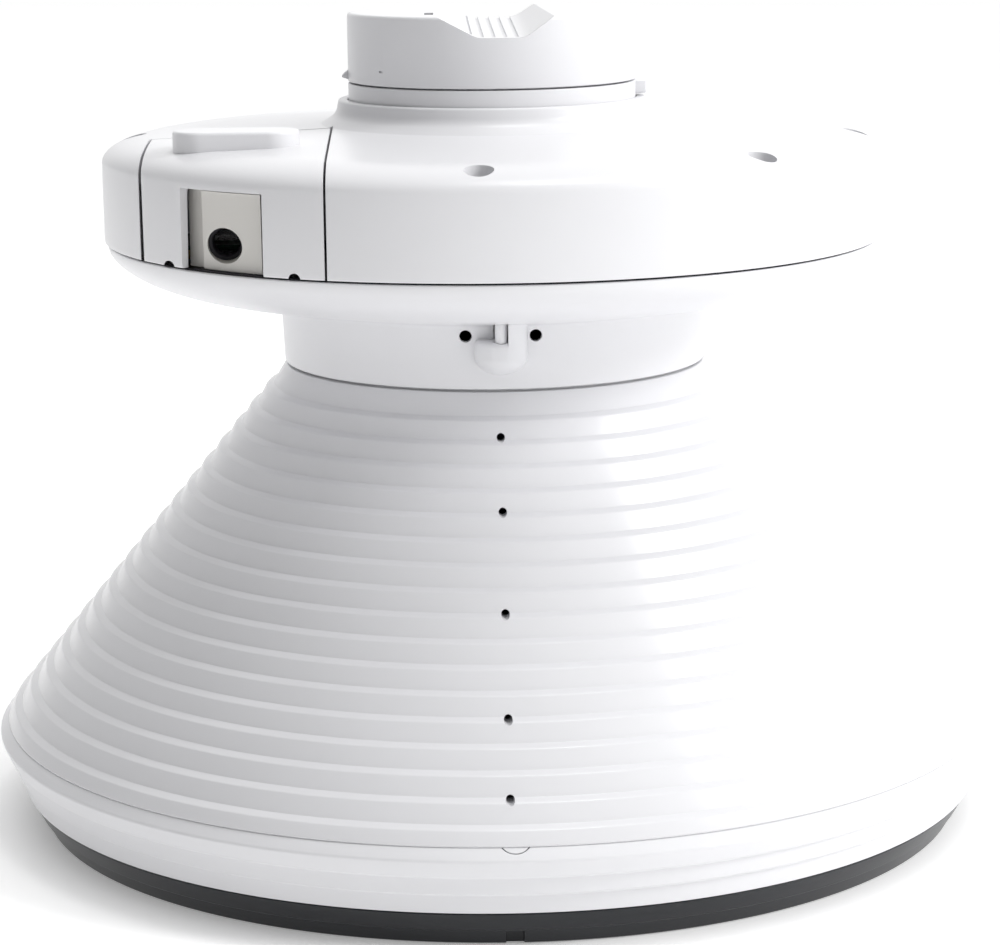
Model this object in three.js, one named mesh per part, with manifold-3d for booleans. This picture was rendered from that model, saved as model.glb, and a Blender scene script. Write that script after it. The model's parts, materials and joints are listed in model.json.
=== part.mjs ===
// Horn antenna with a ribbed weather shroud, standing on its aperture ring.
// Millimetres, +Z up. The origin is on the axis, in the plane that the foot ring stands on.
// -Y is the front: the lock lug and the row of drain holes are on it.
import * as THREE from "three";
import { mergeVertices } from "three/addons/utils/BufferGeometryUtils.js";
import Module from "manifold-3d";

const wasm = await Module();
wasm.setup();

// ---------------------------------------------------------------- driving dimensions
const GAP = 0.3; // between pieces that touch
const RUNNING = 0.35; // between pieces that move on each other
const ROUND = 36; // facets round the large pieces
const SMALL = 10; // facets round screws, pins and holes
const FAR = 300; // beyond the part, for cutting tools
const deg = Math.PI / 180;
const coneTop = 167.2; // height of the shroud's top edge: everything above is measured from it
const seam = coneTop + 46.7; // height of the joint between the two housing halves

const foot = { radius: 172, topRadius: 179.6, height: 12.6, stepZ: 5.5, lipInner: 158, pocketInner: 163.2 };
const footWall = { thickness: 3.9, floor: 4.2, lip: 2.5 };
const footNotch = { width: 6, height: 5, depth: 1.6 };
const windowPlate = { thickness: 2.4 };
const windowSeal = { width: 5.9, thickness: 2 };
const rim = {
  crestRadius: 188.4, crestZ: 33.6, topZ: 37, topRadius: 184.6, flange: 3, wall: 3.2, grooves: [19.5, 26.4],
};
const tongue = { radius: 5.15, up: 2.16, line: 0.35, depth: 1.2 }; // round tongue outlined over the rim seam
const ringScrews = {
  count: 6, first: 30, radius: 167.3, shank: 1.5, head: 2.8, headHeight: 1.6, sink: 2.1, boss: 3.6,
};

const shroud = {
  bottomZ: rim.topZ + 0.7, topRadius: 77.6, overhang: 1.1, wall: 3, skirt: 2.6, skirtDrop: 6, lean: 1.6,
};
const ribs = { count: 17, pitch: 7.28, firstBelowTop: 7.6, depth: 1.13, crestDrop: 1.13, crestOut: 0.2 };
const spigot = { inner: 71.5, height: 16.6, shoulder: 3, shoulderInner: 66 };
const drain = { radius: 1.45, azimuth: -0.4, reach: 14, belowTop: [14.1, 36.5, 66.1, 95.6, 117.4] };
const horn = { throat: 22, sheet: 1.6, mouth: 158, mouthFlange: 167.5, throatZ: 128, flange: 64, lip: 2 };

const neck = { radius: 79.2, bottomRadius: 78.1, bottomZ: coneTop + 1, topZ: coneTop + 23.9, wall: 3.2 };
const swivelSeal = { z: coneTop + 3.4, height: 2.4, depth: 1.7 };
const disc = { radius: 143, seamGap: 0.8, wallTopZ: seam + 29.2, wall: 2.8 };
const bowl = {
  rimInset: 1.2, coneRadius: disc.radius - 29, coneZ: seam - 17, lift: 2.3, reach: 14,
  turnInset: 1, turnDrop: 7,
};
const bandRadius = 52.7; // the mounting band, and the cap that turns on it
const dome = {
  edgeRadius: disc.radius - 24, edgeZ: seam + 38.1, baseRadius: bandRadius + 9.3, baseZ: seam + 41.1,
};
const collar = { radius: bandRadius + 3.5, topZ: seam + 50 };
const housingSeal = { inner: disc.radius - 4.9, width: 2.2, sunk: 2, ledge: disc.radius - 5.8 };
const housingScrews = {
  count: 8, first: -3.5, radius: disc.radius - 10, shank: 2, head: 3.7, headHeight: 3, length: 29,
  seatZ: seam + 23.1, sink: 5.1, boss: 6.9, post: 4.6,
};

const lug = {
  width: 18.6, reach: 10.2, columnWidth: 7, topZ: coneTop + 19, wallZ: coneTop + 13.1, bottomZ: coneTop + 6.7,
};
const pin = {
  radius: 2.1, offset: -0.15, stand: 7, bottomZ: coneTop + 13.2, topZ: coneTop + 28.8, travel: 5,
};
const pinArm = { width: 4, thickness: 1.8, bladeThickness: 3, bladeInset: 1.1, bladeZ: coneTop + 11.3 };
const lockSpring = { radius: 2.6, wire: 0.45, turns: 4 };
const sealWireHoles = { spread: 12.2, z: coneTop + 19.9, radius: 2.15 };

const bay = { centreX: -91.1, width: 66, backY: -21.4, sideWall: 2, wallTopZ: seam + 32.1 };
const cover = { clearance: 0.9, clipWidth: 22, clipReach: 7, clipThickness: 2, clipRoot: 14 };
const notch = { offset: 22, radius: 2 };
const coverPad = { x: -90.6, y: -63, length: 44, width: 21.5, topZ: seam + 44.4, solid: 5 };
const port = {
  aside: 3.65, width: 38.2, topZ: seam + 27.8, clearance: 0.5, reveal: 3.2, depth: 14, lip: 6.5, lipWidth: 2,
};
const portAzimuth = Math.asin((bay.centreX - port.aside) / disc.radius) / deg; // the window stays in the bay
const entry = { holeX: -93, holeZ: seam + 9.1, holeRadius: 6.1, recessTop: 2, recessBottom: 4.6, backY: -86 };
const grommet = { outer: 7.6, inner: 4.6, length: 8 };

const chassis = { radius: disc.radius - 15.5, z: seam - 4.7, thickness: 2, hole: 16.5 };
const plateScrews = {
  count: 4, first: 35, radius: disc.radius - 25, shank: 1.6, head: 3, headHeight: 2, length: 8, boss: 4.6,
};
const waveguide = { inner: 17.5, outer: 20, bottomZ: horn.throatZ + 12, flange: 28, flangeThickness: 3 };
const board = { radius: disc.radius - 23, thickness: 1.6, stand: 5.4, bayMargin: 4 };
const standoffs = [[84, 60], [84, -60], [-70, 70], [-30, -95]];
const standoff = { outer: 3.2, inner: 1.8, screw: 1.4, head: 2.7, headHeight: 1.8 };
const shieldCan = { size: 64, height: 9, sheet: 1 };
const probes = { reach: 30, radius: 0.8, offset: 9 };
const portBoard = { backY: -27, frontY: -62, margin: 9, postInset: 8 };
const jack = { width: 16, depth: 21, height: 13.4, mouth: 11.8, mouthHeight: 8, wall: 2, setBack: 4 };

const band = {
  radius: bandRadius, inner: bandRadius - 6.7, topZ: seam + 55.9,
  spigotOuter: bandRadius - 3.6, spigotTopZ: seam + 67.1, webZ: seam + 60.1, web: 4, sunk: 2.4,
  pegs: [90, 210, 330], pegRadius: 0.9, pegLength: 2.2,
};
const stopTab = { width: 12, reach: 3.8, z: seam + 51 };
const cap = {
  radius: band.radius, bottomZ: seam + 56.5, topZ: seam + 81.4, wall: 3.1, ceilingZ: seam + 70.1, post: 5,
};
const capTab = { width: 8, reach: 2.1, height: 2.2 };
const scoop = {
  left: -20.4, right: 21.1, floorLeft: -6.3, floorRight: 10.5, frontZ: seam + 74.2, backZ: seam + 76.7,
};
const grips = { count: 5, pitch: 4.1, width: 1.5, depth: 0.8, first: -9.5, margin: 4.5 };
const keeper = { radius: 11, thickness: 1.6, screw: 2, shank: 1.8, head: 4, headHeight: 2.6, length: 12 };
const detent = { ball: 2.4, radius: 30, azimuth: 200, springRadius: 1.8, wire: 0.4, turns: 3, seat: 1 };

// ---------------------------------------------------------------- solids from three.js shapes
function solidOf(geometry) {
  const bare = geometry.clone();
  bare.deleteAttribute("normal");
  bare.deleteAttribute("uv");
  const merged = mergeVertices(bare, 1e-4);
  const corners = merged.index.array;
  const kept = [];
  for (let i = 0; i < corners.length; i += 3) {
    const [a, b, c] = corners.slice(i, i + 3);
    if (a !== b && b !== c && c !== a) kept.push(a, b, c);
  }
  const vertProperties = merged.attributes.position.array;
  return new wasm.Manifold(new wasm.Mesh({ numProp: 3, vertProperties, triVerts: new Uint32Array(kept) }));
}

function geometryOf(solid) {
  const mesh = solid.getMesh();
  const geometry = new THREE.BufferGeometry();
  geometry.setAttribute("position", new THREE.BufferAttribute(mesh.vertProperties, 3));
  geometry.setIndex(new THREE.BufferAttribute(mesh.triVerts, 1));
  geometry.computeVertexNormals();
  return geometry;
}

// Turns a profile of [radius, height] points about Z. It closes on itself, or starts and ends on the axis.
function turned(profile, facets = ROUND) {
  const points = profile.map(([r, z]) => new THREE.Vector2(r, z));
  if (THREE.ShapeUtils.area(points) < 0) points.reverse();
  const onAxis = points.some((p) => p.x === 0);
  if (onAxis) {
    while (points[0].x !== 0 || points[points.length - 1].x !== 0) points.push(points.shift());
  } else {
    points.push(points[0].clone());
  }
  return solidOf(new THREE.LatheGeometry(points, facets).rotateX(90 * deg));
}

function ring(inner, outer, z0, z1, facets = ROUND) {
  return turned([[inner, z0], [outer, z0], [outer, z1], [inner, z1]], facets);
}

function rod(radius, z0, z1, x = 0, y = 0, facets = SMALL) {
  const geometry = new THREE.CylinderGeometry(radius, radius, z1 - z0, facets);
  return solidOf(geometry.rotateX(90 * deg).translate(x, y, (z0 + z1) / 2));
}

function box(x0, x1, y0, y1, z0, z1) {
  const geometry = new THREE.BoxGeometry(x1 - x0, y1 - y0, z1 - z0);
  return solidOf(geometry.translate((x0 + x1) / 2, (y0 + y1) / 2, (z0 + z1) / 2));
}

// A rod along Y, from y0 back to y1.
function rodAlongY(radius, y0, y1, x, z, facets = SMALL) {
  const geometry = new THREE.CylinderGeometry(radius, radius, y1 - y0, facets);
  return solidOf(geometry.translate(x, (y0 + y1) / 2, z));
}

// A box that points outward along an azimuth: across its width, out along the radius.
function radialBox(azimuth, width, r0, r1, z0, z1) {
  const geometry = new THREE.BoxGeometry(width, r1 - r0, z1 - z0);
  geometry.translate(0, -(r0 + r1) / 2, (z0 + z1) / 2);
  return solidOf(geometry.rotateZ(azimuth * deg));
}

// A shape in the YZ plane, extruded along X from x0 to x1.
function alongX(points, x0, x1) {
  const shape = new THREE.Shape(points.map(([y, z]) => new THREE.Vector2(y, z)));
  const geometry = new THREE.ExtrudeGeometry(shape, { depth: x1 - x0, bevelEnabled: false });
  const turn = new THREE.Matrix4().set(0, 0, 1, x0, 1, 0, 0, 0, 0, 1, 0, 0, 0, 0, 0, 1);
  return solidOf(geometry.applyMatrix4(turn));
}

function plate(shape, z0, z1, curveSegments = SMALL) {
  const geometry = new THREE.ExtrudeGeometry(shape, { depth: z1 - z0, bevelEnabled: false, curveSegments });
  return solidOf(geometry.translate(0, 0, z0));
}

function coil(radius, wire, turns, z0, z1, x, y) {
  const steps = 9;
  const points = [];
  const low = z0 + wire;
  const rise = z1 - z0 - 2 * wire;
  for (let i = 0; i <= turns * steps; i += 1) {
    const angle = (i / steps) * 2 * Math.PI;
    const z = low + (rise * i) / (turns * steps);
    points.push(new THREE.Vector3(x + radius * Math.cos(angle), y + radius * Math.sin(angle), z));
  }
  const section = new THREE.Shape();
  for (let i = 0; i < 6; i += 1) {
    const angle = (i / 6) * 2 * Math.PI;
    const corner = [wire * Math.cos(angle), wire * Math.sin(angle)];
    if (i === 0) section.moveTo(...corner);
    else section.lineTo(...corner);
  }
  const extrudePath = new THREE.CatmullRomCurve3(points);
  const settings = { steps: turns * steps, bevelEnabled: false, extrudePath };
  return solidOf(new THREE.ExtrudeGeometry(section, settings));
}

const joined = (first, ...rest) => rest.reduce((sum, next) => sum.add(next), first);
const cut = (first, ...tools) => tools.reduce((left, tool) => left.subtract(tool), first);

// The place at a radius and an azimuth: azimuth 0 is the front, and it grows towards +X.
function at(radius, azimuth) {
  return [radius * Math.sin(azimuth * deg), -radius * Math.cos(azimuth * deg)];
}

function spread(count, first = 0) {
  return Array.from({ length: count }, (_, i) => first + (360 / count) * i);
}

// A screw that stands head up (or head down) with its head's bearing face at seatZ.
function screw([x, y], { shank, head, headHeight }, length, seatZ, up = 1) {
  const profile = [
    [0, -length], [shank, -length], [shank, 0], [head, 0], [head, headHeight - 0.4],
    [head - 0.4, headHeight], [0, headHeight],
  ];
  return turned(profile.map(([r, z]) => [r, up * z]), 6).translate([x, y, seatZ]);
}

// ---------------------------------------------------------------- the scene graph
const finishes = {
  whiteShell: { color: 0xf2f2f0, roughness: 0.35, metalness: 0 },
  greyBlock: { color: 0xd2d0cb, roughness: 0.6, metalness: 0 },
  blackFoot: { color: 0x23272c, roughness: 0.5, metalness: 0 },
  rubber: { color: 0x1b1b1c, roughness: 0.85, metalness: 0 },
  windowSheet: { color: 0xdedfdc, roughness: 0.55, metalness: 0 },
  aluminium: { color: 0xb9bcc0, roughness: 0.35, metalness: 0.9 },
  steel: { color: 0xa8aaad, roughness: 0.3, metalness: 1 },
  brass: { color: 0xc6a04c, roughness: 0.35, metalness: 1 },
  circuit: { color: 0x1f5a3a, roughness: 0.5, metalness: 0 },
};

const antenna = new THREE.Group();
const fixedGroup = new THREE.Group();
const capGroup = new THREE.Group();
const coverGroup = new THREE.Group();
const pinGroup = new THREE.Group();
antenna.add(fixedGroup, capGroup, coverGroup, pinGroup);

function addPart(name, solid, finish, group = fixedGroup) {
  const mesh = new THREE.Mesh(geometryOf(solid), new THREE.MeshStandardMaterial(finishes[finish]));
  mesh.name = name;
  group.add(mesh);
}

// ---------------------------------------------------------------- foot, window and rim
const windowBottom = footWall.lip + GAP;
const windowTop = windowBottom + windowPlate.thickness;
const sealTop = windowTop + GAP + windowSeal.thickness;
const rimFlangeZ = sealTop + GAP;
const rimFlangeTop = rimFlangeZ + rim.flange;
const rimBottomZ = foot.height + GAP;
const windowRadius = foot.pocketInner - GAP;
const sealInner = windowRadius - windowSeal.width;

function footRadiusAt(z) {
  return foot.radius + ((foot.topRadius - foot.radius) * z) / foot.height;
}

function footRing() {
  const floorEdge = footRadiusAt(footWall.floor) - footWall.thickness;
  const wallTop = foot.topRadius - footWall.thickness;
  const step = footRadiusAt(foot.stepZ);
  const profile = [
    [foot.lipInner, 0], [foot.radius - 0.6, 0], [foot.radius, 0.6], [step - 0.5, foot.stepZ - 0.2],
    [step + 0.2, foot.stepZ + 0.3], [foot.topRadius - 0.2, foot.height - 0.5],
    [foot.topRadius - 0.4, foot.height], [wallTop, foot.height], [floorEdge, footWall.floor],
    [foot.pocketInner, footWall.floor], [foot.pocketInner, footWall.lip], [foot.lipInner, footWall.lip],
  ];
  const notchFace = footRadiusAt(0) - footNotch.depth;
  const frontNotch = radialBox(0, footNotch.width, notchFace, foot.topRadius, -1, footNotch.height);
  const holes = spread(ringScrews.count, ringScrews.first).flatMap((azimuth) => {
    const place = at(ringScrews.radius, azimuth);
    return [
      rod(ringScrews.shank + GAP, -1, foot.height, ...place),
      rod(ringScrews.head + GAP, -1, ringScrews.sink, ...place),
    ];
  });
  return cut(turned(profile), frontNotch, ...holes);
}

function rimRing() {
  const [lowGroove, highGroove] = rim.grooves;
  const flare = (rim.crestRadius - foot.topRadius) / (rim.crestZ - rimBottomZ);
  const outerAt = (z) => foot.topRadius + flare * (z - rimBottomZ);
  const skirtClear = footRadiusAt(rimFlangeZ) - footWall.thickness - 2 * GAP;
  const skirtFoot = foot.topRadius - footWall.thickness - 2 * GAP;
  const profile = [
    [sealInner, rimFlangeZ], [skirtClear, rimFlangeZ],
    [skirtFoot, rimBottomZ], [foot.topRadius + 0.1, rimBottomZ],
    [outerAt(lowGroove) - 0.4, lowGroove], [outerAt(lowGroove) + 0.6, lowGroove + 0.6],
    [outerAt(highGroove) - 0.3, highGroove], [outerAt(highGroove) + 0.7, highGroove + 0.6],
    [rim.crestRadius, rim.crestZ - 0.5], [rim.crestRadius - 0.6, rim.crestZ + 0.6],
    [rim.topRadius, rim.topZ], [rim.topRadius - rim.wall + 0.6, rim.topZ],
    [rim.crestRadius - rim.wall - 0.6, rim.crestZ - 1.6],
    [outerAt(lowGroove) - rim.wall - 0.7, lowGroove],
    [outerAt(rimFlangeTop + 2) - rim.wall - 1.2, rimFlangeTop],
    [sealInner, rimFlangeTop],
  ];
  const bosses = [];
  const holes = [];
  for (const azimuth of spread(ringScrews.count, ringScrews.first)) {
    const place = at(ringScrews.radius, azimuth);
    bosses.push(rod(ringScrews.boss, footWall.floor + GAP, rimFlangeTop, ...place));
    holes.push(rod(ringScrews.shank + GAP, 0, rimFlangeTop + 1, ...place));
  }
  const outline = ring(tongue.radius, tongue.radius + tongue.line, -tongue.depth, 8, 16);
  const slope = Math.atan((rim.topZ - rim.crestZ) / (rim.crestRadius - rim.topRadius)) / deg;
  const tongueLine = outline.rotate([slope, 0, 0])
    .translate([0, tongue.up - rim.topRadius, rim.topZ + tongue.up]);
  return cut(joined(turned(profile), ...bosses), tongueLine, ...holes);
}

function windowSheet() {
  return rod(windowRadius, windowBottom, windowTop, 0, 0, ROUND);
}

function buildMouth() {
  addPart("foot_ring", footRing(), "blackFoot");
  addPart("aperture_window", windowSheet(), "windowSheet");
  addPart("window_seal", ring(sealInner, windowRadius, windowTop + GAP, sealTop), "rubber");
  addPart("rim_ring", rimRing(), "whiteShell");
  const length = rimFlangeTop - ringScrews.sink - 0.8;
  spread(ringScrews.count, ringScrews.first).forEach((azimuth, i) => {
    const place = at(ringScrews.radius, azimuth);
    addPart(`ring_screw_${i + 1}`, screw(place, ringScrews, length, ringScrews.sink - GAP, -1), "steel");
  });
}

// ---------------------------------------------------------------- ribbed shroud and horn
const slope = (rim.topRadius + shroud.overhang - shroud.topRadius) / (coneTop - shroud.bottomZ);
const shroudRadiusAt = (z) => shroud.topRadius + slope * (coneTop - z);
const slant = Math.hypot(1, slope);
const spigotTop = coneTop + spigot.height;

function ribbedShroud() {
  const innerAt = (z) => shroudRadiusAt(z) - shroud.wall * slant - ribs.depth;
  const profile = [[spigot.inner, spigotTop]];
  const spigotOuter = neck.radius - neck.wall - RUNNING;
  const sealFloor = spigotOuter - swivelSeal.depth - GAP;
  const groove = [swivelSeal.z - GAP, swivelSeal.z + swivelSeal.height + GAP];
  profile.push([spigotOuter - 0.6, spigotTop], [spigotOuter, spigotTop - 0.6]);
  profile.push([spigotOuter, groove[1]], [sealFloor, groove[1]]);
  profile.push([sealFloor, groove[0]], [spigotOuter, groove[0]]);
  profile.push([spigotOuter, coneTop], [shroud.topRadius - 0.6, coneTop]);
  profile.push([shroud.topRadius + 0.3, coneTop - 0.7]);
  for (let i = 0; i < ribs.count; i += 1) {
    const z = coneTop - ribs.firstBelowTop - ribs.pitch * i;
    profile.push([shroudRadiusAt(z) - ribs.depth, z]);
    profile.push([shroudRadiusAt(z - ribs.crestDrop) + ribs.crestOut, z - ribs.crestDrop]);
  }
  const skirtOuter = rim.topRadius - rim.wall - 2 * GAP;
  const skirtInner = skirtOuter - shroud.skirt;
  const skirtZ = shroud.bottomZ - shroud.skirtDrop;
  profile.push([rim.topRadius + 0.3, shroud.bottomZ + 0.8], [rim.topRadius, shroud.bottomZ]);
  profile.push([skirtOuter, shroud.bottomZ], [skirtOuter - shroud.lean, skirtZ]);
  profile.push([skirtInner - shroud.lean, skirtZ]);
  profile.push([innerAt(shroud.bottomZ + 5), shroud.bottomZ + 5]);
  const shelfZ = coneTop - spigot.shoulder;
  profile.push([innerAt(shelfZ), shelfZ], [spigot.shoulderInner, shelfZ]);
  profile.push([spigot.shoulderInner, coneTop], [spigot.inner, coneTop]);
  const drains = drain.belowTop.map((drop) => {
    const z = coneTop - drop;
    const [x, face] = at(shroudRadiusAt(z), drain.azimuth);
    return rodAlongY(drain.radius, face - drain.reach, face + drain.reach, x, z);
  });
  const notchZ = pinArm.bladeZ - 1.2;
  const keyway = box(
    pin.offset - pinArm.width / 2 - RUNNING, pin.offset + pinArm.width / 2 + RUNNING,
    -neck.radius, -spigot.inner + 2, notchZ, spigotTop + 1,
  );
  return cut(turned(profile), ...drains, keyway);
}

function innerHorn() {
  const top = coneTop - spigot.shoulder - GAP;
  const low = rimFlangeTop + GAP;
  const t = horn.sheet;
  return turned([
    [horn.mouth, low], [horn.mouthFlange, low],
    [horn.mouthFlange, low + horn.lip], [horn.mouth + 1, low + horn.lip],
    [horn.throat + t, horn.throatZ + 1], [horn.throat + t, top - horn.lip], [horn.flange, top - horn.lip],
    [horn.flange, top], [horn.throat, top], [horn.throat, horn.throatZ],
  ]);
}

function buildHorn() {
  addPart("horn_shroud", ribbedShroud(), "whiteShell");
  addPart("inner_horn", innerHorn(), "aluminium");
  const outer = neck.radius - neck.wall - GAP;
  const inner = neck.radius - neck.wall - RUNNING - swivelSeal.depth;
  addPart("neck_seal", ring(inner, outer, swivelSeal.z, swivelSeal.z + swivelSeal.height), "rubber");
}

// ---------------------------------------------------------------- lower housing and neck
const lowerTopZ = seam - disc.seamGap / 2;
const upperBottomZ = seam + disc.seamGap / 2;
const screwAzimuths = spread(housingScrews.count, housingScrews.first).filter((azimuth) => {
  const [x, y] = at(housingScrews.radius, azimuth);
  const inBay = Math.abs(x - bay.centreX) < bay.width / 2 + housingScrews.boss;
  return !(inBay && y < bay.backY);
});

// The bowl under the disc: a shallow cone that turns up into the seam, moved inwards by inset.
function bowlCurve(inset, steps) {
  const edge = disc.radius - bowl.rimInset - inset;
  const start = bowl.coneZ + inset;
  const end = lowerTopZ - 0.5;
  const controls = [
    [bowl.coneRadius, start], [bowl.coneRadius + bowl.reach, start + bowl.lift],
    [edge - bowl.turnInset, end - bowl.turnDrop], [edge, end],
  ];
  const curve = new THREE.CubicBezierCurve(...controls.map(([r, z]) => new THREE.Vector2(r, z)));
  return curve.getPoints(steps).map((point) => [point.x, point.y]);
}

// The lug is half round in plan and its chin is a quarter of an ellipsoid.
// Its right side runs up to the bowl.
function lugBody() {
  const radius = lug.width / 2;
  const profile = [[0, lug.bottomZ]];
  for (let i = 1; i <= 4; i += 1) {
    const angle = (90 * deg * i) / 4;
    profile.push([radius * Math.sin(angle), lug.wallZ - (lug.wallZ - lug.bottomZ) * Math.cos(angle)]);
  }
  const centreY = radius - neck.radius - lug.reach;
  const upTo = (z) => turned([...profile, [radius, z], [0, z]], 20).translate([0, centreY, 0]);
  const beside = box(radius - lug.columnWidth, radius + 1, -neck.radius - lug.reach - 1, 0, lug.wallZ, seam);
  const column = upTo(neck.topZ + 1.6).intersect(beside);
  const neckSpace = rod(neck.bottomRadius - 0.6, lug.bottomZ - 1, seam, 0, 0, ROUND);
  return cut(joined(upTo(lug.topZ), column), neckSpace);
}

function lowerHousing() {
  const outer = bowlCurve(0, 6);
  const inner = bowlCurve(disc.wall, 5).reverse();
  const rimInner = housingSeal.inner - 2.4;
  const sealOuter = housingSeal.inner + housingSeal.width + GAP;
  const profile = [
    [neck.radius - neck.wall, neck.bottomZ], [neck.bottomRadius - 0.5, neck.bottomZ],
    [neck.bottomRadius, neck.bottomZ + 0.5],
    [neck.radius, neck.topZ - 0.8], ...outer, [disc.radius - bowl.rimInset + 0.1, lowerTopZ],
    [sealOuter, lowerTopZ], [sealOuter, lowerTopZ - housingSeal.sunk],
    [housingSeal.inner - GAP, lowerTopZ - housingSeal.sunk], [housingSeal.inner - GAP, lowerTopZ],
    [rimInner, lowerTopZ], [rimInner, lowerTopZ - housingSeal.sunk - 2.2], ...inner.slice(2),
    [neck.radius, neck.topZ + disc.wall], [neck.radius - neck.wall, neck.topZ + disc.wall - 0.6],
  ];
  const shape = turned(profile);
  const inside = [];
  const holes = [];
  for (const azimuth of spread(plateScrews.count, plateScrews.first)) {
    const place = at(plateScrews.radius, azimuth);
    inside.push(rod(plateScrews.boss, bowl.coneZ, chassis.z - GAP, ...place, 8));
    holes.push(rod(plateScrews.shank + GAP, chassis.z - plateScrews.length, chassis.z + 1, ...place, 8));
  }
  const keepInside = bowlCore();
  const bosses = inside.map((boss) => boss.intersect(keepInside));
  for (const azimuth of screwAzimuths) {
    const place = at(housingScrews.radius, azimuth);
    const end = housingScrews.seatZ - housingScrews.length;
    bosses.push(rod(housingScrews.post, end - 2, lowerTopZ, ...place, 8).intersect(keepInside));
    holes.push(rod(housingScrews.shank + GAP, end - GAP, lowerTopZ + 1, ...place, 8));
  }
  const slotHalf = pinArm.width / 2 + RUNNING;
  const slotTop = lug.topZ + GAP + pinArm.thickness + pin.travel + RUNNING;
  const pinY = -neck.radius - pin.stand;
  const wallInside = -neck.radius + neck.wall + 3;
  const armSlot = box(pin.offset - slotHalf, pin.offset + slotHalf, pinY, wallInside, lug.topZ, slotTop);
  const boreTop = pin.topZ + pin.travel + 1;
  const pinBore = rod(pin.radius + RUNNING, pin.bottomZ - 1, boreTop, pin.offset, pinY, 16);
  const wireHoles = [-1, 1].map((side) => {
    const { radius, spread: aside, z } = sealWireHoles;
    return rodAlongY(radius, -neck.radius - 5, wallInside, side * aside, z);
  });
  const sealGroove = ring(housingSeal.inner - GAP, sealOuter, lowerTopZ - housingSeal.sunk, lowerTopZ + 1);
  return cut(joined(shape, lugBody(), ...bosses), sealGroove, armSlot, pinBore, ...wireHoles, ...holes);
}

// The space inside the bowl's outer face, which trims the bosses that stand in it.
function bowlCore() {
  const low = neck.topZ + 1;
  return turned([
    [0, low], [neck.radius, low], ...bowlCurve(1, 6), [disc.radius - disc.wall, lowerTopZ], [0, lowerTopZ],
  ]);
}

const bladeRadius = neck.radius - neck.wall - RUNNING - pinArm.bladeInset;

function lockPin() {
  const armZ = lug.topZ + GAP;
  const y = -neck.radius - pin.stand;
  const bladeOuter = -bladeRadius;
  const half = pinArm.width / 2;
  const left = pin.offset - half;
  const right = pin.offset + half;
  const bladeInner = bladeOuter + pinArm.bladeThickness;
  const arm = box(left, right, y, bladeInner, armZ, armZ + pinArm.thickness);
  const blade = box(left, right, bladeOuter, bladeInner, pinArm.bladeZ, armZ + 0.5);
  const body = turned([
    [0, pin.bottomZ], [pin.radius - 0.6, pin.bottomZ], [pin.radius, pin.bottomZ + 0.6],
    [pin.radius, pin.topZ - 0.6], [pin.radius - 0.6, pin.topZ], [0, pin.topZ],
  ], 16);
  return joined(body.translate([pin.offset, y, 0]), arm, blade);
}

function lockSpringCoil() {
  const { radius, wire, turns } = lockSpring;
  const y = radius + wire - bladeRadius;
  const bottom = lug.topZ + GAP + pinArm.thickness + GAP;
  return coil(radius, wire, turns, bottom, chassis.z - GAP, pin.offset, y);
}

// ---------------------------------------------------------------- upper housing, bay and cover
const bayLeft = bay.centreX - bay.width / 2;
const bayRight = bay.centreX + bay.width / 2;
const bayFront = -disc.radius - 5; // just outside the disc

function domeOuter(steps) {
  const points = [];
  for (let i = 0; i <= steps; i += 1) {
    const angle = (90 * deg * i) / steps;
    const r = dome.edgeRadius + (disc.radius - dome.edgeRadius) * Math.cos(angle);
    points.push([r, disc.wallTopZ + (dome.edgeZ - disc.wallTopZ) * Math.sin(angle)]);
  }
  return points;
}

function shellProfile(topPoints, closing) {
  const foot = [[disc.radius - 0.3, upperBottomZ], [disc.radius, upperBottomZ + 0.5]];
  return [...foot, ...domeOuter(5), ...topPoints, ...closing];
}

const innerWallRadius = disc.radius - disc.wall;
const innerWallZ = disc.wallTopZ - 1;

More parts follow.
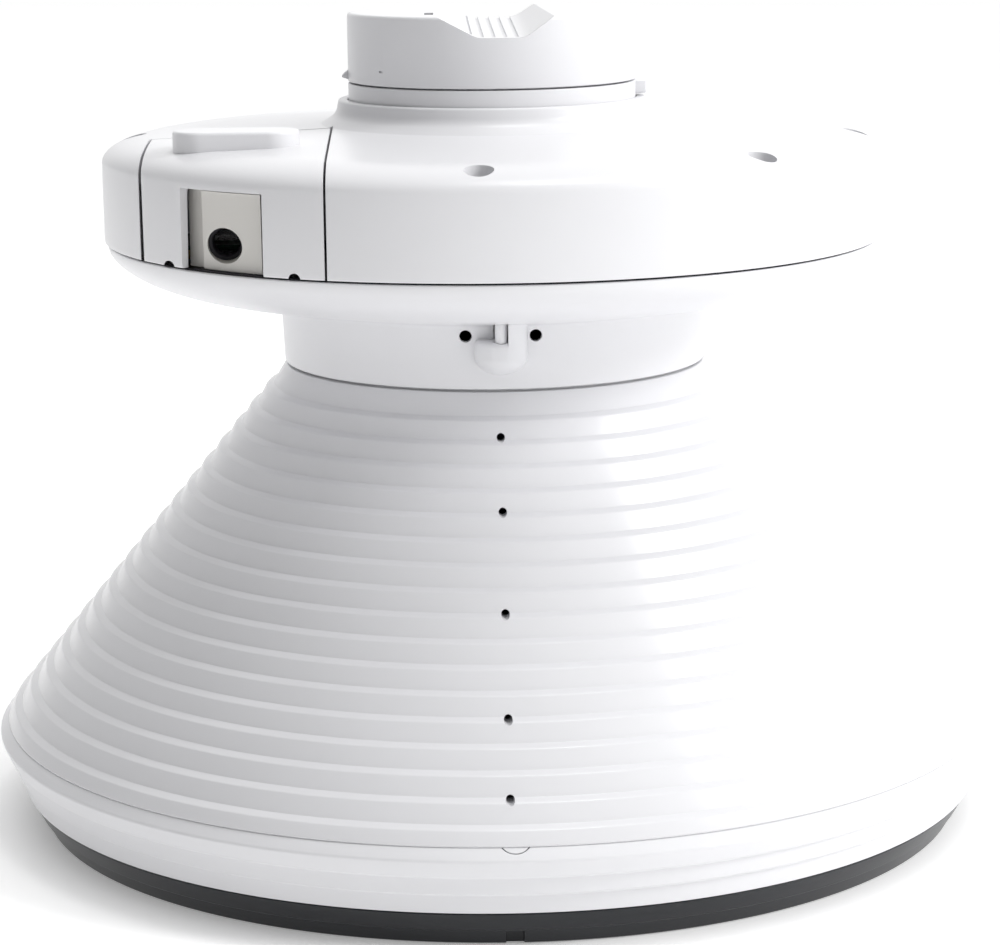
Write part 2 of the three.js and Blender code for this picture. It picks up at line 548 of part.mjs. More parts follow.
function upperHousing() {
  const bandClear = band.radius + GAP;
  const floorZ = dome.baseZ - band.sunk;
  const top = [
    [dome.baseRadius + 2, dome.baseZ - 0.1], [dome.baseRadius - 3.6, dome.baseZ + 1.4],
    [collar.radius + 0.5, dome.baseZ + 4.4], [collar.radius, collar.topZ - 0.6],
    [collar.radius - 0.6, collar.topZ], [bandClear, collar.topZ], [bandClear, floorZ], [0, floorZ],
  ];
  const closing = [
    [0, floorZ - disc.wall], [dome.baseRadius, floorZ - disc.wall],
    [dome.edgeRadius - 1, dome.edgeZ - disc.wall],
    [innerWallRadius - 6, innerWallZ + 3.6], [innerWallRadius, innerWallZ - 4],
    [innerWallRadius, upperBottomZ + 6],
    [housingSeal.ledge, upperBottomZ + 3], [housingSeal.ledge, upperBottomZ],
  ];
  const shell = turned(shellProfile(top, closing));
  const opening = box(bayLeft, bayRight, bayFront, bay.backY, upperBottomZ - 1, collar.topZ);
  const bosses = [];
  const holes = [];
  const core = turned([
    [0, upperBottomZ], [disc.radius - 1, upperBottomZ], [disc.radius - 1, disc.wallTopZ],
    [dome.edgeRadius, dome.edgeZ - 1], [0, dome.edgeZ - 1],
  ]);
  for (const azimuth of screwAzimuths) {
    const place = at(housingScrews.radius, azimuth);
    bosses.push(rod(housingScrews.boss, upperBottomZ, dome.edgeZ - 1, ...place, 10).intersect(core));
    holes.push(rod(housingScrews.shank + GAP, upperBottomZ - 1, dome.edgeZ, ...place, 8));
    holes.push(rod(housingScrews.sink, housingScrews.seatZ, dome.edgeZ + 5, ...place, 14));
  }
  const inside = turned([
    [0, upperBottomZ], [innerWallRadius + 1, upperBottomZ],
    [innerWallRadius + 1, bay.wallTopZ], [0, bay.wallTopZ],
  ]);
  const tall = turned([
    [0, upperBottomZ], [innerWallRadius + 1, upperBottomZ], [innerWallRadius + 1, innerWallZ - 3],
    [dome.edgeRadius, dome.edgeZ - 1.6], [dome.baseRadius, floorZ - 1], [0, floorZ - 1],
  ]);
  const t = bay.sideWall;
  const sides = joined(
    box(bayRight, bayRight + t, bayFront, bay.backY + t, upperBottomZ, collar.topZ),
    box(bayLeft - t, bayLeft, bayFront, bay.backY + t, upperBottomZ, collar.topZ),
  ).intersect(tall);
  const back = box(bayLeft - t, bayRight + t, bay.backY, bay.backY + t, upperBottomZ, bay.wallTopZ);
  const pegHoles = bandPosts().map(([x, y]) => rod(band.pegRadius + GAP, 0, FAR, x, y, 8));
  return cut(joined(cut(shell, opening), ...bosses, sides, back.intersect(inside)), ...holes, ...pegHoles);
}

// The mounting band stands on three locating pegs.
function bandPosts() {
  return band.pegs.map((azimuth) => at((band.radius + band.inner) / 2, azimuth));
}

function coverPlan() {
  const left = bayLeft + cover.clearance;
  const right = bayRight - cover.clearance;
  return box(left, right, bayFront, bay.backY - cover.clearance, upperBottomZ - 1, collar.topZ + 20);
}

function padSolid() {
  const r = coverPad.width / 2;
  const x = coverPad.length / 2 - r;
  const shape = new THREE.Shape();
  shape.absarc(x, 0, r, -90 * deg, 90 * deg);
  shape.absarc(-x, 0, r, 90 * deg, 270 * deg);
  return plate(shape, dome.baseZ - coverPad.solid, coverPad.topZ, 7).translate([coverPad.x, coverPad.y, 0]);
}

function serviceCover() {
  const top = [[collar.radius + 2, dome.baseZ]];
  const closing = [
    [collar.radius + 2, dome.baseZ - disc.wall], [dome.edgeRadius - 1, dome.edgeZ - disc.wall],
    [innerWallRadius, innerWallZ - 2], [innerWallRadius, upperBottomZ],
  ];
  const shell = turned(shellProfile(top, closing)).intersect(coverPlan());
  const collarClear = rod(dome.baseRadius + 1.2, dome.baseZ - 8, collar.topZ + 5, 0, 0, ROUND);
  const clipLeft = bay.centreX - cover.clipWidth / 2;
  const clipRight = bay.centreX + cover.clipWidth / 2;
  const clipTop = dome.edgeZ - disc.wall - cover.clearance;
  const clipLow = clipTop - cover.clipThickness;
  const rootY = bay.backY - cover.clipRoot;
  const clip = box(clipLeft, clipRight, rootY, bay.backY + cover.clipReach, clipLow, clipTop);
  const clipRoot = box(clipLeft, clipRight, rootY, bay.backY - 4, clipLow, dome.baseZ - disc.wall + 1);
  const { width, depth, topZ } = port;
  const opening = radialBox(portAzimuth, width, disc.radius - depth, disc.radius + 6, upperBottomZ - 3, topZ);
  const notches = [-1, 1].map((side) => {
    return rodAlongY(notch.radius, bayFront, -60, bay.centreX + side * notch.offset, upperBottomZ - 0.3);
  });
  const body = joined(shell, padSolid(), clip, clipRoot);
  return cut(body, opening, collarClear, ...notches);
}

function windowSides() {
  const half = port.width / 2;
  const chord = Math.sqrt(disc.radius ** 2 - half ** 2);
  const inner = Math.sqrt(innerWallRadius ** 2 - half ** 2);
  const turn = portAzimuth * deg;
  const side = (reach, way) => reach * Math.sin(turn) + way * half * Math.cos(turn);
  return [Math.max(side(chord, -1), side(inner, -1)), Math.min(side(chord, 1), side(inner, 1))];
}

function entryBlock() {
  const [left, right] = windowSides();
  const bottom = upperBottomZ;
  const top = port.topZ - port.clearance;
  const face = turned([
    [0, bottom], [disc.radius - entry.recessBottom, bottom], [disc.radius - entry.recessTop, top], [0, top],
  ], ROUND * 2);
  const block = box(left + port.reveal, right - port.clearance, -disc.radius, entry.backY, bottom, top);
  const { holeX, holeZ, holeRadius, backY } = entry;
  const tunnel = rodAlongY(holeRadius, -disc.radius, backY + 2, holeX, holeZ, 24);
  const seat = rodAlongY(grommet.outer + GAP, backY - grommet.length, backY + 2, holeX, holeZ, 16);
  const lipRadius = disc.radius - port.lip;
  const lip = box(left - port.lipWidth, left + port.reveal + 1, -disc.radius, entry.backY, bottom, top);
  const lipSpace = rod(lipRadius, bottom, top, 0, 0, ROUND * 2);
  return cut(joined(block.intersect(face), lip.intersect(lipSpace)), tunnel, seat);
}

function entryGrommet() {
  const front = entry.backY - grommet.length + GAP;
  const outer = rodAlongY(grommet.outer, front, entry.backY + 1, entry.holeX, entry.holeZ, 16);
  return cut(outer, rodAlongY(grommet.inner, front - 1, entry.backY + 2, entry.holeX, entry.holeZ, 16));
}

function buildHousing() {
  addPart("lower_housing", lowerHousing(), "whiteShell");
  addPart("upper_housing", upperHousing(), "whiteShell");
  const sealBottom = lowerTopZ - housingSeal.sunk + GAP;
  const seal = ring(housingSeal.inner, housingSeal.inner + housingSeal.width, sealBottom, upperBottomZ - GAP);
  addPart("housing_seal", seal, "rubber");
  screwAzimuths.forEach((azimuth, i) => {
    const place = at(housingScrews.radius, azimuth);
    const { length, seatZ } = housingScrews;
    addPart(`housing_screw_${i + 1}`, screw(place, housingScrews, length, seatZ + GAP), "steel");
  });
  addPart("entry_block", entryBlock(), "greyBlock");
  addPart("entry_grommet", entryGrommet(), "rubber");
  addPart("service_cover", serviceCover(), "whiteShell", coverGroup);
  addPart("lock_pin", lockPin(), "whiteShell", pinGroup);
  addPart("lock_spring", lockSpringCoil(), "steel");
}

// ---------------------------------------------------------------- electronics
const plateTop = chassis.z + chassis.thickness;
const boardZ = plateTop + board.stand;
const boardTop = boardZ + board.thickness;

function chassisPlate() {
  const holes = spread(plateScrews.count, plateScrews.first).map((azimuth) => {
    return rod(plateScrews.shank + GAP, 0, FAR, ...at(plateScrews.radius, azimuth));
  });
  return cut(ring(chassis.hole, chassis.radius, chassis.z, plateTop), ...holes);
}

function mainBoard() {
  const margin = board.bayMargin;
  const whole = rod(board.radius, boardZ, boardTop, 0, 0, ROUND);
  const bayBack = bay.backY + bay.sideWall + margin;
  const bayCut = box(-disc.radius, bayRight + bay.sideWall + margin, bayFront, bayBack, 0, FAR);
  const holes = standoffs.map(([x, y]) => rod(standoff.screw + GAP, 0, FAR, x, y));
  const probeHoles = probePlaces().map(([x, y]) => rod(probes.radius + GAP, 0, FAR, x, y, 8));
  return cut(whole, bayCut, ...holes, ...probeHoles);
}

function probePlaces() {
  return [[probes.offset, 0], [0, probes.offset]];
}

function shieldBox() {
  const half = shieldCan.size / 2;
  const inside = half - shieldCan.sheet;
  const z = boardTop + GAP;
  const top = z + shieldCan.height;
  const outer = box(-half, half, -half, half, z, top);
  return cut(outer, box(-inside, inside, -inside, inside, z - 1, top - shieldCan.sheet));
}

function waveguideTube() {
  const top = chassis.z - GAP;
  const { inner, outer, bottomZ, flange, flangeThickness } = waveguide;
  return turned([
    [inner, bottomZ], [outer, bottomZ], [outer, top - flangeThickness], [flange, top - flangeThickness],
    [flange, top], [inner, top],
  ], 24);
}

function networkJack() {
  const z = boardTop + GAP;
  const back = portBoard.backY - jack.setBack;
  const front = back - jack.depth;
  const x = entry.holeX;
  const outer = box(x - jack.width / 2, x + jack.width / 2, front, back, z, z + jack.height);
  const half = jack.mouth / 2;
  const low = z + jack.wall;
  return cut(outer, box(x - half, x + half, front - 1, back - jack.wall, low, low + jack.mouthHeight));
}

function buildElectronics() {
  addPart("chassis_plate", chassisPlate(), "aluminium");
  spread(plateScrews.count, plateScrews.first).forEach((azimuth, i) => {
    const place = at(plateScrews.radius, azimuth);
    const fixing = screw(place, plateScrews, plateScrews.length - 1, plateTop + GAP);
    addPart(`plate_screw_${i + 1}`, fixing, "steel");
  });
  addPart("waveguide_tube", waveguideTube(), "aluminium");
  addPart("main_board", mainBoard(), "circuit");
  standoffs.forEach(([x, y], i) => {
    const pillar = rod(standoff.outer, plateTop + GAP, boardZ - GAP, x, y);
    const post = cut(pillar, rod(standoff.inner, 0, FAR, x, y));
    addPart(`standoff_${i + 1}`, post, "brass");
    const size = { shank: standoff.screw, head: standoff.head, headHeight: standoff.headHeight };
    addPart(`board_screw_${i + 1}`, screw([x, y], size, board.stand, boardTop + GAP), "steel");
  });
  addPart("shield_can", shieldBox(), "steel");
  probePlaces().forEach(([x, y], i) => {
    const probe = rod(probes.radius, boardTop - probes.reach, boardTop - 0.2, x, y, 8);
    addPart(`feed_probe_${i + 1}`, probe, "brass");
  });
  const { frontY, backY, margin, postInset } = portBoard;
  const left = bayLeft + margin;
  const right = bayRight - margin;
  addPart("port_board", box(left, right, frontY, backY, boardZ, boardTop), "circuit");
  [left + postInset, right - postInset].forEach((x, i) => {
    const post = rod(standoff.outer, plateTop + GAP, boardZ - GAP, x, (backY + frontY) / 2);
    addPart(`port_standoff_${i + 1}`, post, "brass");
  });
  addPart("network_jack", networkJack(), "steel");
}

// ---------------------------------------------------------------- mounting band and turning cap
const bandBottom = dome.baseZ - band.sunk + GAP;

function mountingBand() {
  const { radius, inner, topZ, spigotOuter, spigotTopZ, webZ, web } = band;
  const hole = cap.post + RUNNING;
  const body = turned([
    [inner, bandBottom], [radius, bandBottom], [radius, topZ - 0.4], [radius - 0.4, topZ],
    [spigotOuter, topZ], [spigotOuter, spigotTopZ], [inner, spigotTopZ],
    [inner, webZ + web], [hole, webZ + web], [hole, webZ], [inner, webZ],
  ]);
  const tab = radialBox(90, stopTab.width, radius - 2, radius + stopTab.reach, stopTab.z, topZ);
  const pegLow = bandBottom - band.pegLength;
  const pegs = bandPosts().map((place) => rod(band.pegRadius, pegLow, bandBottom + 1, ...place, 8));
  const [x, y] = at(detent.radius, detent.azimuth);
  return cut(joined(body, tab, ...pegs), rod(detent.ball + GAP, webZ + detent.seat, webZ + web + 1, x, y));
}

function scoopCut() {
  const wide = cap.radius + 4;
  const above = 3;
  const { left, right, floorLeft, floorRight, frontZ, backZ } = scoop;
  const top = cap.topZ + above;
  const sideAbove = (x, floor) => x + ((x - floor) * above) / (cap.topZ - frontZ);
  const shape = new THREE.Shape([
    new THREE.Vector2(floorLeft, frontZ), new THREE.Vector2(floorRight, frontZ),
    new THREE.Vector2(sideAbove(right, floorRight), top), new THREE.Vector2(sideAbove(left, floorLeft), top),
  ]);
  const geometry = new THREE.ExtrudeGeometry(shape, { depth: 2 * wide, bevelEnabled: false });
  const tilt = Math.atan((backZ - frontZ) / (2 * cap.radius));
  geometry.rotateX(90 * deg).translate(0, wide, -frontZ).rotateX(tilt);
  return solidOf(geometry.translate(0, 0, (frontZ + backZ) / 2));
}

function turningCap() {
  const { radius, bottomZ, topZ, wall, ceilingZ, post } = cap;
  const stemEnd = band.webZ - GAP;
  const body = turned([
    [radius - wall, bottomZ], [radius - 0.3, bottomZ], [radius, bottomZ + 0.4], [radius, topZ - 1.1],
    [radius - 0.4, topZ - 0.3], [radius - 1.2, topZ], [0, topZ],
    [0, stemEnd], [post, stemEnd], [post, ceilingZ], [radius - wall, ceilingZ],
  ]);
  const { width, reach, height } = capTab;
  const tab = radialBox(-90, width, radius - 2, radius + reach, bottomZ + 0.1, bottomZ + height);
  const grooves = Array.from({ length: grips.count }, (_, i) => {
    const x = grips.first + grips.pitch * i;
    const slit = box(x, x + grips.width, grips.margin - radius, radius + 1, scoop.frontZ - 1, topZ + 1);
    return slit.intersect(gripSkin());
  });
  const screwHole = rod(keeper.shank + GAP, 0, ceilingZ + 1, 0, 0);
  return cut(joined(body, tab), scoopCut(), ...grooves, screwHole);
}

// The thin layer under the scoop's floor that the grip grooves are cut in.
function gripSkin() {
  return scoopCut().translate([0, 0, -grips.depth]);
}

function buildTop() {
  addPart("mounting_band", mountingBand(), "whiteShell");
  addPart("turning_cap", turningCap(), "whiteShell", capGroup);
  const keeperTop = band.webZ - 2 * GAP;
  const keeperLow = keeperTop - keeper.thickness;
  const washer = ring(keeper.screw + GAP, keeper.radius, keeperLow, keeperTop, 20);
  addPart("keeper_washer", washer, "steel", capGroup);
  addPart("keeper_screw", screw([0, 0], keeper, keeper.length, keeperLow - GAP, -1), "steel", capGroup);
  const [x, y] = at(detent.radius, detent.azimuth);
  const ballZ = cap.ceilingZ - detent.ball - GAP;
  const ball = new THREE.SphereGeometry(detent.ball, 12, 8).rotateX(90 * deg).translate(x, y, ballZ);
  addPart("detent_ball", solidOf(ball), "steel");
  const springTop = ballZ - detent.ball - GAP;
  const springLow = band.webZ + detent.seat + GAP;
  const { springRadius, wire, turns } = detent;
  addPart("detent_spring", coil(springRadius, wire, turns, springLow, springTop, x, y), "steel");
}

buildMouth();
buildHorn();
buildHousing();
buildElectronics();
buildTop();

export default antenna;
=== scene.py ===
"""Looks of a horn antenna with a ribbed weather shroud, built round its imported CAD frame.

Shape code works in millimetres, in the frame's own axes: +Z up, -Y is the front, and azimuth 0 is the front.
"""

import json
import math

import bmesh
import bpy
from mathutils import Matrix, Vector


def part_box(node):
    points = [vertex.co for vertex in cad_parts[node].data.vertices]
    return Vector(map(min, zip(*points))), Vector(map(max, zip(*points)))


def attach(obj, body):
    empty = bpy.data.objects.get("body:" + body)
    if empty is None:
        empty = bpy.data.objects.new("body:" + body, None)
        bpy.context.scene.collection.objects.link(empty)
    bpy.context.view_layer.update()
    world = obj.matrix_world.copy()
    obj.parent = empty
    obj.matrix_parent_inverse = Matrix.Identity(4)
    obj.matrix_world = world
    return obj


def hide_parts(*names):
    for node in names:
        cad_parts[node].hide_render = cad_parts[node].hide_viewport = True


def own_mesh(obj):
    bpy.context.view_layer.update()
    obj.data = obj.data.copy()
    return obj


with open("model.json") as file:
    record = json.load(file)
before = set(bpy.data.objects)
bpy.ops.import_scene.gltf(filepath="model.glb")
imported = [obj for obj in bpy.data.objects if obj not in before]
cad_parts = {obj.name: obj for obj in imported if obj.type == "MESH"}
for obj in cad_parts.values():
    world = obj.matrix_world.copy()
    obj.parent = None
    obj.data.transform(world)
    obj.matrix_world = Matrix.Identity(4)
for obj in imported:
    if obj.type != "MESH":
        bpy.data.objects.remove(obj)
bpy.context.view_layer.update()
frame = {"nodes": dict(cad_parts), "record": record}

MM = 0.001
LARGE = 192  # facets round the casings
MEDIUM = 64  # facets round knobs, pins and holes
FINE = 32  # facets round screws
SMOOTH_ANGLE = math.radians(34)
RING_SCREWS, HOUSING_SCREWS = 6, 7
LIE_ALONG_Y = Matrix(((1, 0, 0, 0), (0, 0, 1, 0), (0, -1, 0, 0), (0, 0, 0, 1)))  # lays the Z axis down along Y


# ---------------------------------------------------------------- sizes read from the frame
def low(node):
    """Lowest corner of a CAD node, in mm."""
    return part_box(node)[0] / MM


def high(node):
    """Highest corner of a CAD node, in mm."""
    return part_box(node)[1] / MM


def middle(node):
    """Centre of a CAD node's box, in mm."""
    return (low(node) + high(node)) / 2


def radius_at(node, z, pick=max, centre=Vector((0, 0, 0))):
    """Widest radius about centre, or with min the narrowest, where a CAD node's edges cross height z."""
    mesh = frame["nodes"][node].data
    found = []
    for edge in mesh.edges:
        a, b = (mesh.vertices[i].co / MM for i in edge.vertices)
        if (a.z - z) * (b.z - z) < 0:
            crossing = a.lerp(b, (z - a.z) / (b.z - a.z)) - centre
            found.append(math.hypot(crossing.x, crossing.y))
    return pick(found)


# ---------------------------------------------------------------- mesh building
def rounded(corners, steps=5):
    """A closed outline from corners (r, z, fillet): each fillet becomes an arc that fits its sides."""
    outline = []
    for i, (r, z, fillet) in enumerate(corners):
        here = Vector((r, z))
        back = Vector(corners[i - 1][:2]) - here
        ahead = Vector(corners[(i + 1) % len(corners)][:2]) - here
        half = back.angle(ahead) / 2
        if fillet == 0 or half > math.radians(88):
            outline.append((r, z))
            continue
        reach = min(fillet / math.tan(half), 0.49 * back.length, 0.49 * ahead.length)
        radius = reach * math.tan(half)
        centre = here + (back.normalized() + ahead.normalized()).normalized() * math.hypot(reach, radius)
        start = here + back.normalized() * reach - centre
        sweep = start.angle_signed(here + ahead.normalized() * reach - centre)
        for k in range(steps + 1):
            turn = -sweep * k / steps
            x = start.x * math.cos(turn) - start.y * math.sin(turn)
            y = start.x * math.sin(turn) + start.y * math.cos(turn)
            outline.append((centre.x + x, centre.y + y))
    return outline


def new_mesh(name, bm):
    """A mesh object in metres from a bmesh in millimetres."""
    bmesh.ops.recalc_face_normals(bm, faces=bm.faces)
    mesh = bpy.data.meshes.new(name)
    bm.to_mesh(mesh)
    bm.free()
    mesh.transform(Matrix.Scale(MM, 4))
    piece = bpy.data.objects.new(name, mesh)
    bpy.context.scene.collection.objects.link(piece)
    return piece


def shade(piece):
    mesh = piece.data
    mesh.polygons.foreach_set("use_smooth", [True] * len(mesh.polygons))
    mesh.set_sharp_from_angle(angle=SMOOTH_ANGLE)


def turned_bmesh(outline, facets, centre=(0, 0), turn=None):
    """A closed outline of (r, z) turned about a vertical axis through centre, then moved by turn."""
    bm = bmesh.new()
    rings = []
    for r, z in outline:
        if r < 1e-6:
            rings.append([bm.verts.new((centre[0], centre[1], z))] * facets)
            continue
        angles = [2 * math.pi * k / facets for k in range(facets)]
        spots = [(centre[0] + r * math.sin(a), centre[1] - r * math.cos(a), z) for a in angles]
        rings.append([bm.verts.new(spot) for spot in spots])
    for i, ring in enumerate(rings):
        after = rings[(i + 1) % len(rings)]
        for k in range(facets):
            n = (k + 1) % facets
            corners = [ring[k], ring[n], after[n], after[k]]
            distinct = [v for j, v in enumerate(corners) if v not in corners[:j]]
            if len(distinct) > 2:
                bm.faces.new(distinct)
    if turn is not None:
        bmesh.ops.transform(bm, matrix=turn, verts=bm.verts)
    return bm


def lathe(name, corners, facets=LARGE, centre=(0, 0), turn=None, steps=5):
    return new_mesh(name, turned_bmesh(rounded(corners, steps), facets, centre, turn))


def block(name, lowest, highest, round_by=0.0, turn=None):
    """A box between two corners, its edges rounded by round_by."""
    bm = bmesh.new()
    bmesh.ops.create_cube(bm, size=1)
    size = Vector(highest) - Vector(lowest)
    place = (Vector(highest) + Vector(lowest)) / 2
    bmesh.ops.transform(bm, matrix=Matrix.Translation(place) @ Matrix.Diagonal((*size, 1)), verts=bm.verts)
    if round_by:
        bmesh.ops.bevel(bm, geom=bm.edges, offset=round_by, segments=4, profile=0.5, affect="EDGES")
    if turn is not None:
        bmesh.ops.transform(bm, matrix=turn, verts=bm.verts)
    return new_mesh(name, bm)


def prism(name, outline, start, depth, axes):
    """A flat outline pushed along w, from start to start + depth: axes maps (u, v, w) to (x, y, z)."""
    bm = bmesh.new()
    layers = [[bm.verts.new(axes(u, v, w)) for u, v in outline] for w in (start, start + depth)]
    bm.faces.new(layers[0])
    bm.faces.new(layers[1])
    for i in range(len(outline)):
        n = (i + 1) % len(outline)
        bm.faces.new([layers[0][i], layers[0][n], layers[1][n], layers[1][i]])
    return new_mesh(name, bm)


def close_rings(bm, rings):
    """Faces between neighbouring rings of vertices, and one face over each end."""
    for lower, upper in zip(rings, rings[1:]):
        for k in range(len(lower)):
            n = (k + 1) % len(lower)
            bm.faces.new([lower[k], lower[n], upper[n], upper[k]])
    bm.faces.new(rings[0])
    bm.faces.new(rings[-1])


def along_y(name, radius, y0, y1, x, z, facets=MEDIUM, mouth=0.0):
    """A rod along Y; its front end widens by mouth, which leaves a rounded lip on what it cuts."""
    corners = [(0, y0, 0), (radius, y0, 0), (radius, y1, 0), (0, y1, 0)]
    if mouth:
        corners[1:2] = [(radius + mouth, y0, 0), (radius + mouth, y0 + 0.01, 0), (radius, y0 + mouth, 0)]
    return lathe(name, corners, facets, turn=Matrix.Translation((x, 0, z)) @ LIE_ALONG_Y)


def upright(name, radius, z0, z1, x=0.0, y=0.0, facets=MEDIUM):
    return lathe(name, [(0, z0, 0), (radius, z0, 0), (radius, z1, 0), (0, z1, 0)], facets, centre=(x, y))


def facing(azimuth):
    """The turn that carries the front to an azimuth in degrees."""
    return Matrix.Rotation(math.radians(azimuth), 4, "Z")


def at(radius, azimuth):
    """The x and y of a point at a radius and an azimuth in degrees."""
    a = math.radians(azimuth)
    return radius * math.sin(a), -radius * math.cos(a)


def combine(piece, operation, tools):
    """Joins tools to a piece, cuts them out of it, or keeps what lies inside them."""
    for tool in tools:
        modifier = piece.modifiers.new(tool.name, "BOOLEAN")
        modifier.operation = operation
        modifier.solver = "MANIFOLD"
        modifier.object = tool
        graph = bpy.context.evaluated_depsgraph_get()
        made = bpy.data.meshes.new_from_object(piece.evaluated_get(graph))
        piece.modifiers.clear()
        old, piece.data = piece.data, made
        bpy.data.meshes.remove(old)
        bpy.data.objects.remove(tool)
    return piece


def cut(piece, *tools):
    return combine(piece, "DIFFERENCE", tools)


def joined(piece, *tools):
    return combine(piece, "UNION", tools)


def kept(piece, *tools):
    return combine(piece, "INTERSECT", tools)


def finish_piece(piece, material, body, slot, *nodes):
    """Smooths a piece, gives it its material, and ties it to its body and CAD nodes; slot is not used."""
    piece.name = "fine_" + nodes[0]
    shade(piece)
    piece.data.materials.clear()
    piece.data.materials.append(material)
    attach(piece, body)
    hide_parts(*nodes)
    return piece


# ---------------------------------------------------------------- materials
def node_tree(name):
    material = bpy.data.materials.new(name)
    material.use_nodes = True
    return material, material.node_tree.nodes, material.node_tree.links


def value_map(nodes, links, source, low_value, high_value, start=0.0, end=1.0):
    """Maps a source between start and end to a value between low_value and high_value."""
    remap = nodes.new("ShaderNodeMapRange")
    remap.inputs["From Min"].default_value = start
    remap.inputs["From Max"].default_value = end
    remap.inputs["To Min"].default_value = low_value
    remap.inputs["To Max"].default_value = high_value
    links.new(source, remap.inputs["Value"])
    return remap.outputs["Result"]


def colour_mix(nodes, links, factor, first, second):
    mix = nodes.new("ShaderNodeMix")
    mix.data_type = "RGBA"
    links.new(factor, mix.inputs["Factor"])
    for value, socket in ((first, mix.inputs["A"]), (second, mix.inputs["B"])):
        if isinstance(value, bpy.types.NodeSocket):
            links.new(value, socket)
        else:
            socket.default_value = (*value, 1)
    return mix.outputs["Result"]


def noise(nodes, links, scale, detail=3.0, stretch=(1, 1, 1)):
    """Noise in object space: scale is features per metre."""
    place = nodes.new("ShaderNodeTexCoord")
    mapping = nodes.new("ShaderNodeMapping")
    mapping.inputs["Scale"].default_value = stretch
    texture = nodes.new("ShaderNodeTexNoise")
    texture.inputs["Scale"].default_value = scale
    texture.inputs["Detail"].default_value = detail
    links.new(place.outputs["Object"], mapping.inputs["Vector"])
    links.new(mapping.outputs["Vector"], texture.inputs["Vector"])
    return texture.outputs["Fac"]


CLOUD_SCALE, SPECK_SCALE = 26, 420
SHADE_REACH, CORNER_SHADE = 0.004, 0.94  # how far the painted corner shade reaches from a corner, in metres, and how much it darkens
WEAVE_TONE = (0.01, 0.09, 0.04)


def moulded(name, colour, roughness, grain=0.05, grain_scale=1600, edge=0.0, wear=None, spread=0.012):
    """Moulded plastic or rubber: fine grain, cloudy gloss, painted shade in corners, and edges rubbed to wear."""
    material, nodes, links = node_tree(name)
    shader = nodes["Principled BSDF"]
    clouds = noise(nodes, links, CLOUD_SCALE, 4)
    deep = tuple(c * (1 - spread) for c in colour)
    tone = colour_mix(nodes, links, value_map(nodes, links, clouds, 0, 1, 0.35, 0.65), deep, colour)
    # Painted shade: the colour darkens towards CORNER_SHADE where ambient occlusion finds a corner, crease or gap
    # close by.
    corner = nodes.new("ShaderNodeAmbientOcclusion")
    corner.samples = 4
    corner.inputs["Distance"].default_value = SHADE_REACH
    corner_shade_mask = value_map(nodes, links, corner.outputs["AO"], 0.55, 0, 0.2, 0.9)
    tone = colour_mix(nodes, links, corner_shade_mask, tone, tuple(c * CORNER_SHADE for c in colour))
    if wear:
        specks = noise(nodes, links, SPECK_SCALE, 2)
        rim = nodes.new("ShaderNodeNewGeometry").outputs["Pointiness"]
        rubbed = nodes.new("ShaderNodeMath")
        rubbed.operation = "MULTIPLY"
        links.new(value_map(nodes, links, rim, 0, 1, 0.56, 0.7), rubbed.inputs[0])
        links.new(value_map(nodes, links, specks, 0, 0.6, 0.45, 0.7), rubbed.inputs[1])
        tone = colour_mix(nodes, links, rubbed.outputs[0], tone, wear)
    links.new(tone, shader.inputs["Base Color"])
    rough = value_map(nodes, links, clouds, roughness - 0.015, roughness + 0.02, 0.3, 0.7)
    links.new(rough, shader.inputs["Roughness"])
    bump = nodes.new("ShaderNodeBump")
    bump.inputs["Strength"].default_value = grain
    bump.inputs["Distance"].default_value = 0.0002
    links.new(noise(nodes, links, grain_scale, 2), bump.inputs["Height"])
    if edge:
        soft = nodes.new("ShaderNodeBevel")
        soft.samples = 4
        soft.inputs["Radius"].default_value = edge * MM
        links.new(soft.outputs["Normal"], bump.inputs["Normal"])
    links.new(bump.outputs["Normal"], shader.inputs["Normal"])
    return material


def metal(name, colour, roughness, stretch):
    """Rolled, turned or plated metal: scratches along one direction and cloudy reflections."""
    material, nodes, links = node_tree(name)
    shader = nodes["Principled BSDF"]
    shader.inputs["Metallic"].default_value = 1
    clouds = noise(nodes, links, 60, 4)
    lines = noise(nodes, links, 900, 3, stretch)
    deep = tuple(c * 0.82 for c in colour)
    patches = value_map(nodes, links, clouds, 0, 1, 0.3, 0.7)
    links.new(colour_mix(nodes, links, patches, deep, colour), shader.inputs["Base Color"])
    gloss = value_map(nodes, links, lines, roughness - 0.08, roughness + 0.12, 0.3, 0.7)
    links.new(gloss, shader.inputs["Roughness"])
    bump = nodes.new("ShaderNodeBump")
    bump.inputs["Strength"].default_value = 0.15
    bump.inputs["Distance"].default_value = 0.0001
    links.new(lines, bump.inputs["Height"])
    links.new(bump.outputs["Normal"], shader.inputs["Normal"])
    return material


